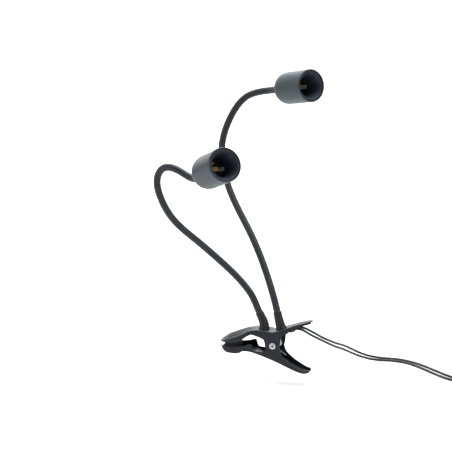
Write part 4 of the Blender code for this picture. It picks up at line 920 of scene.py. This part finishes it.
def make_arm(side):
    arm = ARMS[side]
    path = arm_path(arm)
    frames = path_frames(path)
    run = arc_lengths(path)
    total = run[-1] - 0.5 * MM
    first = FIRST_JOINT
    middle = arm["middle"] * total
    last = total - LAST_JOINT

    def place(distance):
        return tuple(float(np.interp(distance, run, path[:, k])) for k in range(3))

    seams = [BOOT_LENGTH - 4 * MM, (first + middle) / 2, (middle + last) / 2, run[-1]]
    lower, upper, head = side + "_arm_lower", side + "_arm_upper", side + "_head"
    plan = [
        ("_sleeve_foot", seams[0], seams[1], "clip_frame", lower, first, 22 * MM,
         ("_hose_foot", "_hose_lower")),
        ("_sleeve_middle", seams[1], seams[2], lower, upper, middle, 40 * MM,
         ("_hose_lower", "_hose_upper")),
        ("_sleeve_neck", seams[2], seams[3], upper, head, last, 24 * MM,
         ("_hose_upper", "_hose_neck")),
    ]
    for label, start, end, body_a, body_b, joint, reach, nodes in plan:
        beyond = min(end + HOSE_PITCH / RINGS_PER_RIB, run[-1])     # leaves no slit
        mesh = grid_mesh(side + label, hose_rows(path, frames, run, start, beyond), True, True)
        obj = put(side + label, mesh, "hose_sleeve", None, [side + name for name in nodes])
        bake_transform(obj)

    # the boot: two grooves, a lip that grips the sleeve, a flange cut flat on the plate
    stretch = run <= BOOT_LENGTH
    heights = run[stretch]
    lean = (path[1] - path[0]) / (run[1] - run[0])
    below = np.array([-BOOT_R * 0.5, -BOOT_R * 0.25])
    line = np.vstack([path[0] + below[:, None] * lean, path[stretch]])
    heights = np.concatenate([below, heights])
    part = np.clip(heights / BOOT_LENGTH, 0.0, 1.0)
    radii = BOOT_R + (HOSE_R + 0.45 * MM - BOOT_R) * part ** 0.85
    for groove in (4.2 * MM, 6.6 * MM):
        radii -= 0.35 * MM * np.exp(-((heights - groove) / (0.5 * MM)) ** 2)
    radii += 0.3 * MM * np.exp(-((heights - (BOOT_LENGTH - 1.3 * MM)) / (0.9 * MM)) ** 2)
    radii[-1] -= 0.45 * MM
    radii[-2] -= 0.2 * MM
    rings = np.repeat(radii[:, None], 40, axis=1)
    turns = [np.vstack([frame[:1], frame[:1], frame[stretch]]) for frame in frames]
    rows = np.asarray(swept_rows(line, turns, rings), dtype=float)
    foot = np.array(arm["foot"])
    normal = np.array(Vector(arm["normal"]).normalized())
    flange = np.clip(1.0 - (rows - foot) @ normal / (1.9 * MM), 0.0, 1.0) ** 0.5
    outward = rows - line[:, None, :]
    outward /= np.linalg.norm(outward, axis=2, keepdims=True)
    rows += 0.6 * MM * flange[:, :, None] * outward
    mesh = grid_mesh(side + "_rubber_boot", rows, True, True)
    bm = bmesh.new()
    bm.from_mesh(mesh)
    cut = bmesh.ops.bisect_plane(bm, geom=bm.verts[:] + bm.edges[:] + bm.faces[:],
                                 plane_co=foot + normal * GAP / 2, plane_no=normal,
                                 clear_inner=True)
    bmesh.ops.contextual_create(bm, geom=[thing for thing in cut["geom_cut"]
                                          if isinstance(thing, bmesh.types.BMEdge)])
    bmesh.ops.recalc_face_normals(bm, faces=bm.faces)
    bm.to_mesh(mesh)
    bm.free()
    put(side + "_rubber_boot", mesh, "boot_rubber", "clip_frame", (side + "_boot",))


# ---------------------------------------------------------------- cups and lampholders
def arc_points(radius, start, end, count):
    angles = [math.radians(start + (end - start) * i / count) for i in range(count + 1)]
    return [(radius * math.sin(a), radius * math.cos(a)) for a in angles]


def make_cup(side):
    arm = ARMS[side]
    axis = Vector(arm["axis"]).normalized()
    centre = Vector(arm["pole"]) + axis * CUP_R
    matrix = axis_matrix(centre, axis)
    head = side + "_head"
    inner = CUP_R - CUP_WALL
    lip = 0.5 * CUP_WALL
    bore = 3.3 * MM
    outside = arc_points(CUP_R, 90, 180 - math.degrees(math.asin(bore / CUP_R)), 26)
    inside = arc_points(inner, 90, 180 - math.degrees(math.asin(bore / inner)), 20)
    mouth = [(CUP_R - lip + lip * math.cos(a), CUP_LENGTH - lip + lip * math.sin(a))
             for a in [math.pi * (1 - i / 8) for i in range(9)]]
    barrel = [(CUP_R, CUP_LENGTH * part) for part in (0.9, 0.6, 0.3)]
    profile = mouth + barrel + outside + list(reversed(inside))
    mesh = turned_mesh(side + "_cup_shell", profile, 96, matrix, closed=True)
    put(side + "_cup_shell", mesh, "cup_paint", head, (side + "_cup",))

    front = CUP_LENGTH - INSERT_RECESS
    back = front - INSERT_DEPTH
    body_r = inner - GAP
    steps = 72
    corners = [(THREAD_R, front - LEAD_IN), (MOUTH_R, front), (body_r, front), (body_r, back),
               (THREAD_R, back)]
    profile = rounded_path(corners, 0.6 * MM, 4)
    angles = [math.tau * k / steps for k in range(steps)]
    rows = [[(r * math.cos(a), r * math.sin(a), z) for a in angles] for r, z in profile]
    depth = front - LEAD_IN - back
    count = int(depth / (THREAD_PITCH / 9))
    for i in range(1, count):
        z = back + depth * i / count
        fade = min(1.0, i / 6, (count - i) / 6)
        row = []
        for a in angles:
            ridge = 0.5 + 0.5 * math.cos(math.tau * z / THREAD_PITCH - a)
            r = THREAD_R - THREAD_DEPTH * fade * ridge
            row.append((r * math.cos(a), r * math.sin(a), z))
        rows.append(row)
    rows.append(rows[0])
    mesh = grid_mesh(side + "_thread_sleeve", rows, True, False, matrix)
    put(side + "_thread_sleeve", mesh, "holder_moulding", head, (side + "_lampholder",))

    for number, y in enumerate((-8.2 * MM, 8.2 * MM), start=1):
        name = side + "_terminal_screw_%d" % number
        base_top = back - GAP
        cap = [(0.0, 1.5 * MM), (1.5 * MM, 1.35 * MM), (2.2 * MM, 0.9 * MM), (2.2 * MM, 0.0),
               (1.2 * MM, 0.0), (1.2 * MM, -1.0 * MM), (0.0, -1.0 * MM)]
        spot = matrix @ Matrix.Translation((0.0, y, base_top))
        mesh = turned_mesh(name, rounded_path(cap, 0.25 * MM, 3), 32, spot)
        put(name, mesh, "brass", head)


# ---------------------------------------------------------------- switch and plug
def rounded_ring(length, width, corner, height, count=9):
    points = []
    for quarter, (sx, sy) in enumerate(((1, 1), (-1, 1), (-1, -1), (1, -1))):
        for i in range(count):
            angle = math.pi / 2 * (quarter + i / (count - 1))
            points.append((sx * (length / 2 - corner) + corner * math.cos(angle),
                           sy * (width / 2 - corner) + corner * math.sin(angle), height))
    return points


def shell_block(name, low, high, rounding, top_rounded):
    """A solid slab of the switch's outline, with one rounded and one eased edge."""
    length, width = SWITCH_SIZE
    rows = []
    steps = 6
    small = 0.4 * MM
    ends = ((low, small, False), (high, rounding, True)) if top_rounded else (
        (low, rounding, False), (high, small, True))
    for level, radius, upper in ends:
        for i in range(steps + 1):
            angle = math.pi / 2 * (i / steps)
            inset = radius * (1 - math.cos(angle)) if upper else radius * (1 - math.sin(angle))
            rise = radius * math.sin(angle) if upper else -radius * math.cos(angle)
            height = level - radius + rise if upper else level + radius + rise
            rows.append(rounded_ring(length - 2 * inset, width - 2 * inset,
                                     max(SWITCH_CORNER - inset, 0.8 * MM), height))
    place = Matrix.Translation((*SWITCH_CENTRE, 0.0))
    return grid_mesh(name, rows, True, True, place)


def cut_boxes(obj, boxes):
    """Cut plain boxes, each given as (centre, size), out of a solid."""
    for number, (centre, size) in enumerate(boxes):
        bm = bmesh.new()
        bmesh.ops.create_cube(bm, size=1.0)
        bmesh.ops.scale(bm, vec=size, verts=bm.verts)
        bmesh.ops.translate(bm, vec=centre, verts=bm.verts)
        mesh = bpy.data.meshes.new("cutter")
        bm.to_mesh(mesh)
        bm.free()
        cutter = bpy.data.objects.new("cutter_%d" % number, mesh)
        bpy.context.scene.collection.objects.link(cutter)
        step = obj.modifiers.new("well", "BOOLEAN")
        step.operation = "DIFFERENCE"
        step.solver = "EXACT"
        step.object = cutter
        bpy.context.view_layer.update()
        evaluated = obj.evaluated_get(bpy.context.evaluated_depsgraph_get())
        carved = bpy.data.meshes.new_from_object(evaluated)
        obj.modifiers.clear()
        obj.data = carved
        bpy.data.objects.remove(cutter, do_unlink=True)
    obj.data.shade_smooth()
    obj.data.set_sharp_from_angle(angle=math.radians(35))


def make_switch():
    seam = FLOOR_Z + SWITCH_BASE_H
    top = seam + GAP + SWITCH_COVER_H
    base = put("switch_bottom", shell_block("switch_bottom", FLOOR_Z, seam, 1.4 * MM, False),
               "switch_moulding", "clip_frame", ("switch_base",))
    cover = put("switch_top", shell_block("switch_top", seam + GAP, top, 2.6 * MM, True),
                "switch_moulding", "clip_frame", ("switch_cover",))
    reach = math.hypot(ROCKER_LENGTH / 2, ROCKER_RISE)
    well = 2 * (reach + ROCKER_GAP)
    boxes = [((SWITCH_CENTRE[0], y, top), (well, ROCKER_WIDTH + 2 * ROCKER_GAP, 14 * MM))
             for y in ROCKER_PINS.values()]
    cut_boxes(cover, boxes)
    pieces = [base, cover]
    for name, y in ROCKER_PINS.items():
        pieces.append(make_rocker(name, y, reach))

    start = (SWITCH_CENTRE[0] + SWITCH_SIZE[0] / 2 + GAP, SWITCH_CENTRE[1], -44.4 * MM)
    profile = [(0.0, RELIEF_LENGTH), (MAINS_R, RELIEF_LENGTH), (3.1 * MM, RELIEF_LENGTH - 0.4 * MM)]
    for i in range(7):
        height = RELIEF_LENGTH - (2.2 + 3.0 * i) * MM
        full = 3.1 * MM + (4.4 - 3.1) * MM * (1 - height / RELIEF_LENGTH)
        profile += [(full, height), (full - 0.7 * MM, height - 0.5 * MM),
                    (full - 0.7 * MM, height - 1.2 * MM), (full + 0.02 * MM, height - 1.7 * MM)]
    profile += [(4.4 * MM, 0.0), (3.3 * MM, 0.0), (3.3 * MM, -2.1 * MM), (0.0, -2.1 * MM)]
    mesh = turned_mesh("strain_relief", profile, 40, axis_matrix(start, (1, 0, 0)))
    pieces.append(put("strain_relief", mesh, "boot_rubber", "clip_frame",
                      ("mains_strain_relief",)))
    return pieces


def make_rocker(name, y, reach):
    """A rocker: a shallow dished top in two halves, and round ends about its pin."""
    top = math.atan2(ROCKER_RISE, ROCKER_LENGTH / 2)
    right = []
    for i in range(9):
        angle = top - (top + math.radians(15)) * i / 8
        right.append((reach * math.cos(angle), reach * math.sin(angle)))
    right.append((0.55 * reach, -ROCKER_RISE))
    dish = []
    for i in range(1, 10):
        part = 1 - i / 10
        x = part * ROCKER_LENGTH / 2
        dish.append((x, ROCKER_RISE * (0.62 + 0.38 * part ** 1.5)))
    half = list(reversed(dish)) + right
    outline = [(0.0, 0.62 * ROCKER_RISE)] + half + [(-x, z) for x, z in reversed(half)]
    rows = []
    width = ROCKER_WIDTH / 2
    for across, inset in ((-width, 0.45), (-width + 0.15 * MM, 0.15), (-width + 0.5 * MM, 0.0),
                          (0.0, 0.0), (width - 0.5 * MM, 0.0), (width - 0.15 * MM, 0.15),
                          (width, 0.45)):
        shrink = 1 - inset * MM / reach
        rows.append([(x * shrink, across, z * shrink) for x, z in outline])
    tilt = Matrix.Rotation(math.radians(ROCKER_TILT), 4, "Y")
    place = Matrix.Translation((SWITCH_CENTRE[0], y, ROCKER_PIN_Z)) @ tilt
    mesh = grid_mesh(name + "_key", rows, True, True, place)
    return put(name + "_key", mesh, "rocker_moulding", name, (name,))


def make_plug():
    """Plug body lofted from its cord to its face, with grip ribs, and its two pins."""
    x0, y0, z0 = PLUG_START
    rows = []
    samples = 60
    total = PLUG_TAIL + PLUG_LENGTH
    for i in range(samples + 1):
        run = total * i / samples
        if run <= PLUG_TAIL:
            part = run / PLUG_TAIL
            half_x = 3.0 * MM + 2.4 * MM * part
            half_z = 3.0 * MM + 1.2 * MM * part
            ring = 0.45 * MM * (0.5 + 0.5 * math.cos(math.tau * run / (3.2 * MM)))
            half_x -= ring * min(1.0, part * 6)
            half_z -= ring * min(1.0, part * 6)
        else:
            part = (run - PLUG_TAIL) / PLUG_LENGTH
            ease = min(part / 0.55, 1.0)
            ease = ease * ease * (3 - 2 * ease)
            half_x = 5.4 * MM + (PLUG_HALF[0] - 5.4 * MM) * ease
            half_z = 4.2 * MM + (PLUG_HALF[1] - 4.2 * MM) * ease
            if part > 0.95:
                half_x -= 1.2 * MM * ((part - 0.95) / 0.05) ** 2
                half_z -= 1.2 * MM * ((part - 0.95) / 0.05) ** 2
        row = []
        for k in range(56):
            angle = math.tau * k / 56
            c, s = math.cos(angle), math.sin(angle)
            power = 2.0 / 3.2
            row.append((x0 + half_x * math.copysign(abs(c) ** power, c), y0 - run,
                        z0 + half_z * math.copysign(abs(s) ** power, s)))
        rows.append(row)
    body = put("plug_shell", grid_mesh("plug_shell", rows, True, True), "switch_moulding",
               "clip_frame", ("plug_body",))
    pieces = [body]
    face = y0 - total
    for number, sign in ((1, -1), (2, 1)):
        spot = axis_matrix((x0 + sign * PIN_SPACING / 2, face, z0), (0, -1, 0))
        name = "plug_contact_%d" % number
        profile = [(0.0, PIN_LENGTH), (1.0 * MM, PIN_LENGTH), (PIN_R, PIN_LENGTH - 1.6 * MM),
                   (PIN_R, 10.2 * MM), (1.6 * MM, 10.0 * MM), (1.6 * MM, -4.0 * MM),
                   (0.0, -4.0 * MM)]
        mesh = turned_mesh(name, rounded_path(profile, 0.4 * MM, 4), 32, spot)
        pieces.append(put(name, mesh, "brass", "clip_frame", ("plug_pin_%d" % number,)))
        name = "pin_sleeve_%d" % number
        profile = [(1.6 * MM, 10.0 * MM), (PIN_R, 10.0 * MM), (PIN_R, -3.0 * MM),
                   (1.6 * MM, -3.0 * MM)]
        mesh = turned_mesh(name, profile, 32, spot, closed=True)
        pieces.append(put(name, mesh, "switch_moulding", "clip_frame"))
    return pieces


# ---------------------------------------------------------------- nodes that stay
KEPT = {
    "upper_jaw_pad": "pad_rubber", "lower_jaw_pad": "pad_rubber", "pivot_bush": "zinc_steel",
    "lead_anchor": "holder_moulding", "coil_tie": "tie_fabric",
    "switch_screw_1": "zinc_steel", "switch_screw_2": "zinc_steel",
}
KEPT_PER_SIDE = {
    "foot_stud": "zinc_steel", "foot_nut": "zinc_steel", "neck_stud": "zinc_steel",
    "neck_nut": "zinc_steel", "inner_wire": "lead_sheath", "holder_base": "holder_moulding",
    "centre_contact": "brass", "side_contact": "zinc_steel",
}


def dress_kept_nodes():
    looks = dict(KEPT)
    for side in ARMS:
        for name, look in KEPT_PER_SIDE.items():
            looks[side + "_" + name] = look
    for name, look in looks.items():
        obj = frame["nodes"][name]
        obj.data.materials.clear()
        obj.data.materials.append(finish(look))


make_camera()
switch_pieces = make_switch()
plug_pieces = make_plug()
make_leads()
make_clip()
make_spring()
for side in ARMS:
    make_arm(side)
    make_cup(side)
dress_kept_nodes()
make_studio()
